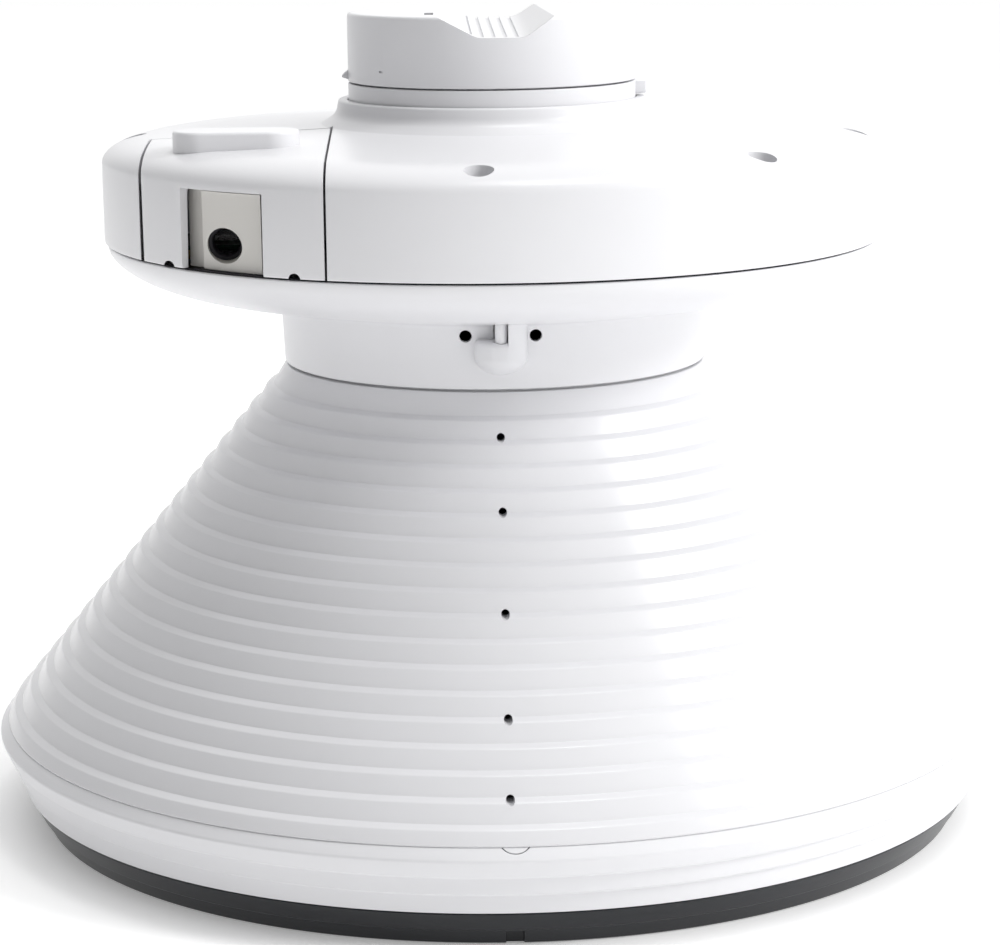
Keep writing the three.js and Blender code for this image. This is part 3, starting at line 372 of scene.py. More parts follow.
def circuit_board(name):
    """Green solder mask over copper tracks, with glass weave under it."""
    material, nodes, links = node_tree(name)
    shader = nodes["Principled BSDF"]
    place = nodes.new("ShaderNodeTexCoord")
    tracks = nodes.new("ShaderNodeTexBrick")
    tracks.inputs["Scale"].default_value = 130
    tracks.inputs["Mortar Size"].default_value = 0.012
    tracks.inputs["Color1"].default_value = (0.006, 0.06, 0.028, 1)
    tracks.inputs["Color2"].default_value = (0.008, 0.075, 0.034, 1)
    tracks.inputs["Mortar"].default_value = (0.03, 0.17, 0.06, 1)
    links.new(place.outputs["Object"], tracks.inputs["Vector"])
    weave = noise(nodes, links, 1500, 1)
    tone = colour_mix(nodes, links, value_map(nodes, links, weave, 0, 0.25), tracks.outputs["Color"], WEAVE_TONE)
    links.new(tone, shader.inputs["Base Color"])
    links.new(value_map(nodes, links, weave, 0.28, 0.4), shader.inputs["Roughness"])
    bump = nodes.new("ShaderNodeBump")
    bump.inputs["Strength"].default_value = 0.3
    bump.inputs["Distance"].default_value = 0.0001
    links.new(tracks.outputs["Fac"], bump.inputs["Height"])
    links.new(bump.outputs["Normal"], shader.inputs["Normal"])
    return material


white = moulded("white_plastic", (0.78, 0.78, 0.8), 0.3, edge=0.35)
white_ribbed = moulded("white_plastic_ribbed", (0.77, 0.77, 0.79), 0.22, grain=0.03)
grey = moulded("grey_plastic", (0.64, 0.625, 0.595), 0.5, grain=0.1, edge=0.25)
black = moulded(
    "black_plastic", (0.006, 0.0075, 0.011), 0.3, grain=0.08, edge=0.3, wear=(0.05, 0.055, 0.06), spread=0.2,
)
rubber = moulded("seal_rubber", (0.016, 0.015, 0.022), 0.6, grain=0.15, grain_scale=900, spread=0.25)
window = moulded("window_sheet", (0.72, 0.73, 0.72), 0.45, grain=0.25, grain_scale=700)
ink = moulded("mark_fill", (0.2, 0.2, 0.21), 0.6)
aluminium = metal("aluminium_sheet", (0.74, 0.75, 0.77), 0.34, (1, 1, 9))
steel = metal("steel_plated", (0.62, 0.62, 0.63), 0.26, (1, 1, 6))
brass = metal("brass_turned", (0.78, 0.57, 0.25), 0.3, (1, 1, 8))
circuit = circuit_board("circuit_board")

SLOT_MATERIALS = {
    "white_shell": white, "grey_block": grey, "black_foot": black, "window_sheet": window,
    "rubber_seal": rubber, "aluminium": aluminium, "steel": steel, "brass": brass, "circuit_board": circuit,
}


def paint_frame():
    """Every CAD node that stays gets the detailed material of its slot."""
    for row in frame["record"]["subparts"]:
        slots = frame["nodes"][row["node"]].data.materials
        slots.clear()
        slots.append(SLOT_MATERIALS[row["material_slot"]])


# ---------------------------------------------------------------- foot, window and rim
GAP = 0.3
FOOT_STEP = 5.5  # height of the ledge round the foot
FOOT_SEAT, FOOT_LEDGE = 4.2, 2.5  # heights of the two steps inside the foot
FOOT_WELL, FOOT_WELL_TOP, FOOT_SHANK = 3.1, 2.1, 1.8
NOTCH_WIDTH, NOTCH_HEIGHT, NOTCH_DEPTH = 6, 5, 1.6
RIM_GROOVES = (19.5, 26.4)
RIM_WALL, RIM_CREST_DROP, FLANGE_THICKNESS = 3.2, 3.4, 3
FLANGE_EDGE, RIM_SEAT, RIM_INSIDE = 171.2, 175.1, 171.5  # radii under the flange, on the foot, over the flange
TONGUE_RADIUS, TONGUE_UP, TONGUE_LINE = 5.15, 2.16, 0.35


def foot_ring():
    node = "foot_ring"
    top = high(node).z
    corners = [
        (radius_at(node, 1, min), 0, 0.4), (radius_at(node, 0.8), 0, 0.9),
        (radius_at(node, FOOT_STEP - 0.3), FOOT_STEP - 0.2, 0.4),
        (radius_at(node, FOOT_STEP + 0.5), FOOT_STEP + 0.3, 0.3),
        (radius_at(node, top - 0.6), top, 0.6), (radius_at(node, top - 0.2, min), top, 0.3),
        (radius_at(node, FOOT_SEAT + 0.3, min), FOOT_SEAT, 0), (radius_at(node, 3, min), FOOT_SEAT, 0),
        (radius_at(node, 3, min), FOOT_LEDGE, 0.3), (radius_at(node, 1, min), FOOT_LEDGE, 0.3),
    ]
    ring = lathe(node, corners)
    face = radius_at(node, 0.8) - NOTCH_DEPTH
    notch = block("notch", (-NOTCH_WIDTH / 2, -face - 20, -5), (NOTCH_WIDTH / 2, -face, NOTCH_HEIGHT), 0.5)
    wells = []
    for i in range(RING_SCREWS):
        place = middle(f"ring_screw_{i + 1}")
        wells.append(upright("well", FOOT_WELL, -1, FOOT_WELL_TOP, place.x, place.y, FINE))
        wells.append(upright("shank", FOOT_SHANK, -1, top, place.x, place.y, FINE))
    cut(ring, notch, *wells)
    finish_piece(ring, black, "antenna", "black_foot", node)


def window_sheet():
    node = "aperture_window"
    outer, bottom, top = high(node).x, low(node).z, high(node).z
    sheet = lathe(node, [(0, bottom, 0), (outer, bottom, 0.5), (outer, top, 0.5), (0, top, 0)])
    finish_piece(sheet, window, "antenna", "window_sheet", node)


def seal_ring(node):
    inner, outer = radius_at(node, middle(node).z, min), high(node).x
    bottom, top = low(node).z, high(node).z
    corners = [(inner, bottom, 0.4), (outer, bottom, 0.4), (outer, top, 0.4), (inner, top, 0.4)]
    ring = lathe(node, corners, steps=3)
    finish_piece(ring, rubber, "antenna", "rubber_seal", node)


def rim_ring():
    node = "rim_ring"
    bottom, top = high("foot_ring").z + GAP, high(node).z
    crest = top - RIM_CREST_DROP
    flange = high("window_seal").z + GAP
    inner = radius_at(node, flange + 1.5, min)
    widest, edge = high(node).x, radius_at(node, top - 0.1)
    corners = [(inner, flange, 0), (FLANGE_EDGE, flange, 0), (RIM_SEAT, bottom, 0)]
    corners.append((radius_at(node, bottom + 0.3), bottom, 0.35))
    for groove in RIM_GROOVES:
        face = radius_at(node, groove - 0.1)
        corners += [(face - 1.1, groove - 0.2, 0.4), (face + 0.9, groove + 1.0, 0.7)]
    corners += [
        (widest, crest - 0.3, 1.2), (edge, top, 0.5), (edge - RIM_WALL + 0.6, top, 0.3),
        (widest - RIM_WALL - 0.6, crest - 1.6, 1),
        (radius_at(node, RIM_GROOVES[0] - 0.5) - RIM_WALL - 0.7, RIM_GROOVES[0], 0),
        (RIM_INSIDE, flange + FLANGE_THICKNESS, 0.5), (inner, flange + FLANGE_THICKNESS, 0),
    ]
    ring = lathe(node, corners)
    outer = TONGUE_RADIUS + TONGUE_LINE
    tongue = [(TONGUE_RADIUS, -1.2, 0), (outer, -1.2, 0), (outer, 8, 0), (TONGUE_RADIUS, 8, 0)]
    place = Matrix.Translation((0, -edge + TONGUE_UP, top + TONGUE_UP))
    line = lathe("line", tongue, MEDIUM, turn=place @ Matrix.Rotation(math.radians(45), 4, "X"))
    cut(ring, line)
    finish_piece(ring, white, "antenna", "white_shell", node)


def cross_screw(node):
    """A pan head with a cross recess on a plain shank, in place of a plain CAD screw."""
    bottom, top = low(node).z, high(node).z
    centre = middle(node)
    head_up = radius_at(node, top - 0.6, centre=centre) > radius_at(node, bottom + 0.6, centre=centre)
    end, tip = (top, bottom) if head_up else (bottom, top)
    way = 1 if head_up else -1
    head = high(node).x - centre.x
    shank = radius_at(node, tip + way * 0.6, centre=centre)
    heights = (end - way * 0.1 * k for k in range(1, 60))
    seat = next(z for z in heights if radius_at(node, z, centre=centre) < head * 0.8)
    corners = [(0, tip, 0), (shank * 0.6, tip, 0), (shank, tip + way, 0), (shank, seat, 0), (head, seat, 0.2)]
    corners += [(head, (end + seat) / 2, abs(end - seat) * 0.4), (head * 0.55, end, head * 0.3), (0, end, 0)]
    screw = lathe(node, corners, FINE, centre=(centre.x, centre.y), steps=4)
    reach, half, depth = head * 0.55, head * 0.11, head * 0.35
    arms = []
    for angle in (20, 110):
        turn = Matrix.Translation((centre.x, centre.y, end)) @ facing(angle)
        arms.append(block("arm", (-reach, -half, -depth), (reach, half, depth), 0, turn))
    cut(screw, *arms)
    finish_piece(screw, steel, "antenna", "steel", node)


# ---------------------------------------------------------------- ribbed shroud
RIB_COUNT, RIB_PITCH, FIRST_RIB = 17, 7.28, 159.6
RIB_DEPTH, CREST_DROP, CREST_OUT = 1.45, 1.2, 0.35
CONE_SLOPE, CONE_TOP, CONE_TOP_RADIUS, CONE_BOTTOM = 0.8347, 167.2, 77.6, 37.08
CONE_WALL, CONE_FOOT_INSIDE, SKIRT_DROP = 5.04, 175, 6
SPIGOT_INSIDE, DECK_INSIDE, DECK_UNDERSIDE = 71.5, 66, 164.2  # bore of the spigot; the narrow deck under it
DRAIN_HEIGHTS, DRAIN_RADIUS, DRAIN_AZIMUTH = (153.1, 130.7, 101.1, 71.6, 49.8), 1.45, -0.4
MARK_X, MARK_WIDTH, MARK_HEIGHTS, MARK_DEPTH = -2.2, 0.55, (161.9, 165.3), 0.35


def cone_radius(z):
    return CONE_TOP_RADIUS + CONE_SLOPE * (CONE_TOP - z)


def horn_shroud():
    node = "horn_shroud"
    top = high(node).z
    spigot = high("neck_seal").x - 0.05
    corners = [(SPIGOT_INSIDE, top, 0.4), (spigot, top, 0.6), (spigot, CONE_TOP, 0.4)]
    corners.append((CONE_TOP_RADIUS + 0.2, CONE_TOP, 0.8))
    for i in range(RIB_COUNT):
        z = FIRST_RIB - RIB_PITCH * i
        corners.append((cone_radius(z) - RIB_DEPTH, z, 0.55))
        corners.append((cone_radius(z - CREST_DROP) + CREST_OUT, z - CREST_DROP, 1.5))
    edge = radius_at("rim_ring", high("rim_ring").z - 0.1)
    skirt = edge - 3.8
    corners += [(edge + 0.3, CONE_BOTTOM + 0.5, 0.4), (edge, CONE_BOTTOM, 0.2), (skirt, CONE_BOTTOM, 0)]
    corners += [(skirt - 1.6, CONE_BOTTOM - SKIRT_DROP, 0), (skirt - 4.2, CONE_BOTTOM - SKIRT_DROP, 0)]
    corners.append((CONE_FOOT_INSIDE, CONE_BOTTOM + 2, 0))
    corners.append((cone_radius(DECK_UNDERSIDE) - CONE_WALL, DECK_UNDERSIDE, 0))
    corners += [(DECK_INSIDE, DECK_UNDERSIDE, 0), (DECK_INSIDE, CONE_TOP, 0), (SPIGOT_INSIDE, CONE_TOP, 0)]
    shell = lathe(node, corners, steps=4)
    tools = []
    for z in DRAIN_HEIGHTS:
        x, face = at(cone_radius(z), DRAIN_AZIMUTH)
        tools.append(along_y("drain", DRAIN_RADIUS, face - 9, face + 14, x, z, FINE))
    mark_z = sum(MARK_HEIGHTS) / 2
    half = (MARK_HEIGHTS[1] - MARK_HEIGHTS[0]) / 2
    place = Matrix.Translation((MARK_X, -cone_radius(mark_z), mark_z))
    lean = place @ Matrix.Rotation(-math.atan(CONE_SLOPE), 4, "X")
    tools.append(block("mark", (-MARK_WIDTH / 2, -3, -half), (MARK_WIDTH / 2, MARK_DEPTH, half), 0, lean))
    cut(shell, *tools)
    finish_piece(shell, white_ribbed, "antenna", "white_shell", node)


# ---------------------------------------------------------------- lower housing, lug and lock pin
def bezier(points, steps):
    """Points of a cubic curve, its first one left out."""
    curve = []
    for k in range(1, steps + 1):
        t = k / steps
        weights = ((1 - t) ** 3, 3 * t * (1 - t) ** 2, 3 * t * t * (1 - t), t ** 3)
        curve.append(tuple(sum(w * p[i] for w, p in zip(weights, points)) for i in (0, 1)))
    return curve


SEAM = (213.5, 214.3)  # top of the lower housing, bottom of the upper one
CONE_EDGE, CONE_EDGE_Z, BOWL_EDGE, SEAM_RADIUS = 114, 196.9, 141.8, 141.9
BOWL_WALL, BOWL_INSIDE = 2.8, 133
NECK_RADIUS, NECK_FOOT_RADIUS, NECK_TOP, NECK_WALL = 79.2, 78.1, 191.1, 3.2
SEAL_LEVEL, SEAL_GROOVE = 213, 2  # a height inside the housing seal, and the depth of its groove
LAND_INSIDE, LAND_BOTTOM = 135.7, 209.3  # the flat land that the seal's groove is cut into
LUG_REACH, LUG_RADIUS, LUG_TOP, LUG_WALL_Z, LUG_CHIN = 10.2, 9.3, 186.2, 180.3, 173.9
COLUMN_LEFT = 2.3  # the column over the lug starts right of this
PIN_RADIUS, PIN_FOOT = 2.1, 180.4  # the blade of the lock pin's node goes lower than the pin itself
BORE_TOP, SLOT_HALF, SLOT_TOP = 202, 2.35, 193.7
WIRE_HOLE_RADIUS, WIRE_HOLE_ASIDE, WIRE_HOLE_Z = 2.15, 12.2, 187.1
ARM_LOW, ARM_HIGH, ARM_HALF, BLADE_BOTTOM = 186.5, 188.3, 2.0, 178.5


def bowl(inset, steps):
    """The bowl under the disc: a shallow cone that turns up into the seam."""
    points = [
        (CONE_EDGE, CONE_EDGE_Z + inset), (128, 199.2 + inset), (140.8 - inset, 206 + inset),
        (BOWL_EDGE - inset, SEAM[0] - 1),
    ]
    return bezier(points, steps)


def lug_solid(name, radius, centre_y, bottom, wall, top, crown):
    """A half-round block whose chin is a quarter of an ellipsoid; crown rounds its top edge."""
    corners = [(0, bottom, 0)]
    for k in range(1, 10):
        angle = math.radians(10 * k)
        corners.append((radius * math.sin(angle), wall - (wall - bottom) * math.cos(angle), 0))
    corners += [(radius, top, crown), (0, top, 0)]
    return lathe(name, corners, MEDIUM, centre=(0, centre_y))


def lower_housing():
    node = "lower_housing"
    neck_bottom, neck_inside = low(node).z, NECK_RADIUS - NECK_WALL
    corners = [(neck_inside, neck_bottom, 0.3), (NECK_FOOT_RADIUS, neck_bottom, 0.5), (NECK_RADIUS, NECK_TOP, 2.2)]
    corners.append((CONE_EDGE - 6, CONE_EDGE_Z - 1, 12))
    corners += [(r, z, 0) for r, z in bowl(0, 14)] + [(SEAM_RADIUS, SEAM[0], 0.4)]
    groove_out = high("housing_seal").x + GAP
    groove_in = radius_at("housing_seal", SEAL_LEVEL, min) - GAP
    groove_floor = SEAM[0] - SEAL_GROOVE
    corners += [(groove_out, SEAM[0], 0.2), (groove_out, groove_floor, 0), (groove_in, groove_floor, 0)]
    corners += [(groove_in, SEAM[0], 0.2), (LAND_INSIDE, SEAM[0], 0), (LAND_INSIDE, LAND_BOTTOM, 0)]
    corners += [(r, z, 0) for r, z in reversed(bowl(BOWL_WALL, 6)) if r < BOWL_INSIDE]
    corners.append((neck_inside, NECK_TOP + 2.4, 2))
    shell = lathe(node, corners)
    centre_y = -(NECK_RADIUS + LUG_REACH - LUG_RADIUS)
    lug = lug_solid("lug", LUG_RADIUS, centre_y, LUG_CHIN, LUG_WALL_Z, LUG_TOP, 1.8)
    column = lug_solid("column", LUG_RADIUS, centre_y, LUG_CHIN + 0.3, LUG_WALL_Z, NECK_TOP + 1.6, 0)
    cut(column, block("left", (-20, -120, 160), (COLUMN_LEFT, 0, 230), 0))
    for solid in (lug, column):
        cut(solid, upright("inside", NECK_FOOT_RADIUS - 0.6, 160, 220, facets=LARGE))
    joined(shell, lug, column)
    pin_x, pin_y = middle("lock_pin").x, low("lock_pin").y + PIN_RADIUS
    bore = upright("bore", PIN_RADIUS + 0.35, PIN_FOOT - 1, BORE_TOP, pin_x, pin_y)
    slot_back = -NECK_RADIUS + NECK_WALL + 3
    slot = block("slot", (pin_x - SLOT_HALF, pin_y, LUG_TOP), (pin_x + SLOT_HALF, slot_back, SLOT_TOP))
    tools = [bore, slot]
    for x in (-WIRE_HOLE_ASIDE, WIRE_HOLE_ASIDE):
        tools.append(along_y("wire_hole", WIRE_HOLE_RADIUS, -NECK_RADIUS - 5, -NECK_RADIUS + 6, x, WIRE_HOLE_Z))
    cut(shell, *tools)
    finish_piece(shell, white, "antenna", "white_shell", node)


def lock_pin():
    node = "lock_pin"
    top, back = high(node).z, high(node).y
    x, y = middle(node).x, low(node).y + PIN_RADIUS
    corners = [(0, PIN_FOOT, 0), (PIN_RADIUS, PIN_FOOT, 0.6), (PIN_RADIUS, top, 0.6), (0, top, 0)]
    pin = lathe(node, corners, MEDIUM, centre=(x, y))
    arm = block("arm", (x - ARM_HALF, y, ARM_LOW), (x + ARM_HALF, back, ARM_HIGH), 0.3)
    blade = block("blade", (x - ARM_HALF, back - 3, BLADE_BOTTOM), (x + ARM_HALF, back, ARM_HIGH), 0.3)
    joined(pin, arm, blade)
    finish_piece(pin, white, "pin", "white_shell", node)


PIN_TRAVEL, SPRING_WIRE, SPRING_TURNS, STEPS_PER_TURN, WIRE_SIDES = 5, 0.45, 4, 28, 10


def lock_spring():
    """The coil between the pin's arm and the chassis plate."""
    node = "lock_spring"
    centre, bottom, top = middle(node), low(node).z, high(node).z
    radius = (high(node).x - low(node).x) / 2 - SPRING_WIRE
    count = SPRING_TURNS * STEPS_PER_TURN
    up = Vector((0, 0, 1))
    bm = bmesh.new()
    rings = []
    for i in range(count + 1):
        angle = 2 * math.pi * i / STEPS_PER_TURN
        out = Vector((math.cos(angle), math.sin(angle), 0))
        z = bottom + SPRING_WIRE + (top - bottom - 2 * SPRING_WIRE) * i / count
        core = Vector((centre.x, centre.y, z)) + out * radius
        turns = [2 * math.pi * k / WIRE_SIDES for k in range(WIRE_SIDES)]
        rings.append([bm.verts.new(core + (out * math.cos(t) + up * math.sin(t)) * SPRING_WIRE) for t in turns])
    close_rings(bm, rings)
    spring = finish_piece(new_mesh(node, bm), steel, "antenna", "steel", node)
    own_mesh(spring)


# ---------------------------------------------------------------- upper housing, cover and cable entry
BAY_X, BAY_WIDTH, BAY_BACK = -91.1, 66, -21.4
COVER_CLEARANCE, GAP_WIDENS = 0.8, 0.5
DOME_EDGE, DOME_EDGE_Z, WALL_TOP = 119, 252, 243.1
COLLAR_FOOT, COLLAR_FOOT_Z = 62, 255
SHELL_WALL = 2.8
UPPER_LAND_INSIDE = 137.2
BAY_WALL, SIDE_WALL_TOP, BACK_WALL_TOP = 2, 257, 246
PORT_AZIMUTH, PORT_WIDTH, PORT_TOP = -41.5, 38.2, 241.7
WELL_RADIUS, WELL_SEAT, SHANK_RADIUS, POST_WALL = 5.1, 237, 2.3, 1.6
PLAN_FRONT = 145
PAD_LENGTH, PAD_WIDTH, PAD_CENTRE, PAD_CROWN = 44, 21.5, (-90.6, -63), 1.2
CLIP_HALF, CLIP_THICKNESS = 11, 2
COVER_NOTCH_ASIDE, COVER_NOTCH_RADIUS = 22, 2


def dome_corners(radius):
    """The outer wall and the rounded shoulder of the disc, from the seam up to the collar's foot."""
    corners = [(radius - 0.1, SEAM[1], 0.45), (radius, SEAM[1] + 2, 0)]
    for k in range(13):
        angle = math.radians(90 * k / 12)
        r = DOME_EDGE + (radius - DOME_EDGE) * math.cos(angle)
        corners.append((r, WALL_TOP + (DOME_EDGE_Z - WALL_TOP) * math.sin(angle), 0))
    return corners


def screw_wells():
    wells = []
    for i in range(HOUSING_SCREWS):
        place = middle(f"housing_screw_{i + 1}")
        corners = [(0, WELL_SEAT, 0), (WELL_RADIUS - 0.3, WELL_SEAT, 0.5), (WELL_RADIUS, 260, 0), (0, 260, 0)]
        wells.append(lathe("well", corners, MEDIUM, centre=(place.x, place.y)))
        wells.append(upright("shank", SHANK_RADIUS, SEAM[0], 250, place.x, place.y, FINE))
    return wells


def screw_posts(top):
    """The posts under the wells, which stand inside the disc's wall."""
    posts = []
    for i in range(HOUSING_SCREWS):
        place = middle(f"housing_screw_{i + 1}")
        posts.append(upright("post", WELL_RADIUS + POST_WALL, SEAM[1] + 0.1, top, place.x, place.y))
    return posts


def upper_housing():
    node = "upper_housing"
    radius, top = high(node).x, high(node).z
    collar = radius_at(node, top - 2)
    band_clear = high("mounting_band").y + GAP
    floor = COLLAR_FOOT_Z - 2.4
    corners = dome_corners(radius) + [
        (COLLAR_FOOT + 1, COLLAR_FOOT_Z, 2), (collar + 1, COLLAR_FOOT_Z + 3.6, 5), (collar, top, 0.9),
        (band_clear, top, 0.4), (band_clear, floor, 0), (0, floor, 0), (0, floor - SHELL_WALL, 0),
        (COLLAR_FOOT, floor - SHELL_WALL, 1), (DOME_EDGE - 1, DOME_EDGE_Z - SHELL_WALL, 4),
        (radius - SHELL_WALL - 0.6, WALL_TOP, 4), (radius - SHELL_WALL, SEAM[1] + 6, 0),
        (UPPER_LAND_INSIDE, SEAM[1] + 3, 0), (UPPER_LAND_INSIDE, SEAM[1], 0.2),
    ]
    shell = lathe(node, corners)
    post_top = DOME_EDGE_Z - 1
    trim = [(0, SEAM[1], 0), (radius - 1, SEAM[1], 0), (radius - 1, WALL_TOP, 0)]
    trim += [(DOME_EDGE, post_top, 0), (0, post_top, 0)]
    posts = [kept(post, lathe("trim", trim)) for post in screw_posts(post_top)]
    joined(shell, *posts)
    left, right, front = BAY_X - BAY_WIDTH / 2, BAY_X + BAY_WIDTH / 2, -radius - 5
    cut(shell, block("bay", (left, front, SEAM[1] - 2), (right, BAY_BACK, top + 5)))
    inner = [(0, SEAM[1], 0), (radius - 2, SEAM[1], 0), (radius - 2, WALL_TOP - 4, 0)]
    inner += [(DOME_EDGE, DOME_EDGE_Z - 1.6, 0), (COLLAR_FOOT, floor - 1, 0), (0, floor - 1, 0)]
    slabs = (
        (right, right + BAY_WALL, front, SIDE_WALL_TOP), (left - BAY_WALL, left, front, SIDE_WALL_TOP),
        (left - BAY_WALL, right + BAY_WALL, BAY_BACK, BACK_WALL_TOP),
    )
    walls = []
    for x0, x1, y0, wall_top in slabs:
        wall = block("wall", (x0, y0, SEAM[1]), (x1, BAY_BACK + BAY_WALL, wall_top))
        walls.append(kept(wall, lathe("inner", inner)))
    joined(shell, *walls)
    cut(shell, *screw_wells())
    finish_piece(shell, white, "antenna", "white_shell", node)


def cover_plan(top):
    """The cover's outline from the front: its left side leans, so that the gap there widens downwards."""
    left, right = BAY_X - BAY_WIDTH / 2 + COVER_CLEARANCE, BAY_X + BAY_WIDTH / 2 - COVER_CLEARANCE
    outline = [(left + GAP_WIDENS, SEAM[1] - 1), (right, SEAM[1] - 1), (right, top), (left, top)]
    depth = PLAN_FRONT + BAY_BACK - COVER_CLEARANCE
    return prism("plan", outline, -PLAN_FRONT, depth, lambda u, v, w: (u, w, v))


def stadium(name, length, width, centre, bottom, top, crown):
    """A pad with round ends, its top edge rounded by crown."""
    half = width / 2
    straight = length / 2 - half
    side = [k * math.pi / FINE - math.pi / 2 for k in range(FINE + 1)]
    levels = [(bottom, 0.0)]
    for k in range(7):
        a = k * math.pi / 12
        levels.append((top - crown + crown * math.sin(a), crown - crown * math.cos(a)))
    bm = bmesh.new()
    rings = []
    for z, inset in levels:
        end = half - inset
        ring = [(centre[0] + straight + end * math.cos(a), centre[1] + end * math.sin(a)) for a in side]
        ring += [(centre[0] - straight - end * math.cos(a), centre[1] - end * math.sin(a)) for a in side]
        rings.append([bm.verts.new((x, y, z)) for x, y in ring])
    close_rings(bm, rings)
    return new_mesh(name, bm)


def service_cover():
    node = "service_cover"
    radius = high("upper_housing").x
    corners = dome_corners(radius) + [
        (COLLAR_FOOT - 4, COLLAR_FOOT_Z + 0.2, 0), (COLLAR_FOOT - 4, COLLAR_FOOT_Z - SHELL_WALL, 0),
        (DOME_EDGE - 1, DOME_EDGE_Z - SHELL_WALL, 4), (radius - SHELL_WALL - 0.6, WALL_TOP - 1, 4),
        (radius - SHELL_WALL, SEAM[1], 0),
    ]
    shell = lathe(node, corners)
    kept(shell, cover_plan(275))
    pad = stadium("pad", PAD_LENGTH, PAD_WIDTH, PAD_CENTRE, COLLAR_FOOT_Z - 4.6, high(node).z, PAD_CROWN)
    clip_top = DOME_EDGE_Z - SHELL_WALL - COVER_CLEARANCE
    clip_corner = (BAY_X - CLIP_HALF, BAY_BACK - 14, clip_top - CLIP_THICKNESS)
    clip = block("clip", clip_corner, (BAY_X + CLIP_HALF, BAY_BACK + 7, clip_top), 0.4)
    root = block("root", clip_corner, (BAY_X + CLIP_HALF, BAY_BACK - 4, COLLAR_FOOT_Z - SHELL_WALL + 1))
    joined(shell, pad, clip, root)
    tools = [upright("collar", COLLAR_FOOT + 1.2, COLLAR_FOOT_Z - 8, 270, facets=LARGE)]
    port_low = (-PORT_WIDTH / 2, -radius - 6, SEAM[1] - 3)
    port_high = (PORT_WIDTH / 2, -radius + 14, PORT_TOP)
    tools.append(block("port", port_low, port_high, 0, facing(PORT_AZIMUTH)))
    for side in (-1, 1):
        x = BAY_X + side * COVER_NOTCH_ASIDE
        tools.append(along_y("notch", COVER_NOTCH_RADIUS, -radius - 6, -60, x, SEAM[1] - 0.1, FINE))
    cut(shell, *tools)
    finish_piece(shell, white, "cover", "white_shell", node)


ENTRY_X, ENTRY_Z, ENTRY_RADIUS = -93, 223, 6.1
FACE_INSET_LOW, FACE_INSET_HIGH = 4.6, 2  # how far the block's face stands inside the disc's wall
LIP_WIDTH, LIP_DEPTH = 5.2, 6.5  # the block's set-back left edge, which closes the window beside it
GROMMET_BORE = 4.6


def entry_block():
    node = "entry_block"
    bottom, top = low(node).z, high(node).z
    left, right, back = low(node).x, high(node).x, high(node).y
    disc = high("upper_housing").x
    face_low, face_high = disc - FACE_INSET_LOW, disc - FACE_INSET_HIGH
    face = lathe("face", [(0, bottom, 0), (face_low, bottom, 0), (face_high, top, 0), (0, top, 0)])
    piece = block(node, (left + LIP_WIDTH, -disc, bottom), (right, back, top))
    kept(piece, face)
    lip = block("lip", (left, -disc, bottom), (left + LIP_WIDTH + 1, back, top))
    kept(lip, upright("lip_space", disc - LIP_DEPTH, bottom, top, facets=LARGE))
    joined(piece, lip)
    tunnel = along_y("tunnel", ENTRY_RADIUS, -disc, back + 2, ENTRY_X, ENTRY_Z)
    grommet_low, grommet_high = low("entry_grommet"), high("entry_grommet")
    seat = along_y("seat", grommet_high.x - ENTRY_X + GAP, grommet_low.y - GAP, back + 2, ENTRY_X, ENTRY_Z)
    cut(piece, tunnel, seat)
    finish_piece(piece, grey, "antenna", "grey_block", node)


def entry_grommet():
    node = "entry_grommet"
    front, back = low(node).y, high(node).y
    outer = high(node).x - ENTRY_X
    corners = [(GROMMET_BORE, front, 1), (outer, front, 0.5), (outer, back, 0.5), (GROMMET_BORE, back, 0.5)]
    ring = lathe(node, corners, MEDIUM, turn=Matrix.Translation((ENTRY_X, 0, ENTRY_Z)) @ LIE_ALONG_Y)
    finish_piece(ring, rubber, "antenna", "rubber_seal", node)


# ---------------------------------------------------------------- mounting band and turning cap
SCOOP_LEFT, SCOOP_RIGHT, FLOOR_LEFT, FLOOR_RIGHT = -20.4, 21.1, -6.3, 10.5
SCOOP_FRONT, SCOOP_BACK = 288.1, 290.6
GRIP_COUNT, GRIP_PITCH, GRIP_WIDTH, GRIP_DEPTH, GRIP_FIRST, GRIP_MARGIN = 5, 4.1, 1.5, 0.8, -9.5, 4.5
BAND_INSIDE, BAND_LIP, BAND_TOP = 46, 49.1, 269.8
BRIDGE_BOTTOM, BRIDGE_TOP, BRIDGE_BORE = 274, 278, 5.35  # the plate across the band that the cap turns on
CAP_WALL, CAP_CEILING, STEM_RADIUS, STEM_END = 3.1, 284, 5, 273.7
POINTER_LEFT, POINTER_RIGHT, POINTER_FRONT, POINTER_BACK = -24.6, -21.4, -30, -14
FILL_INSET = 0.1


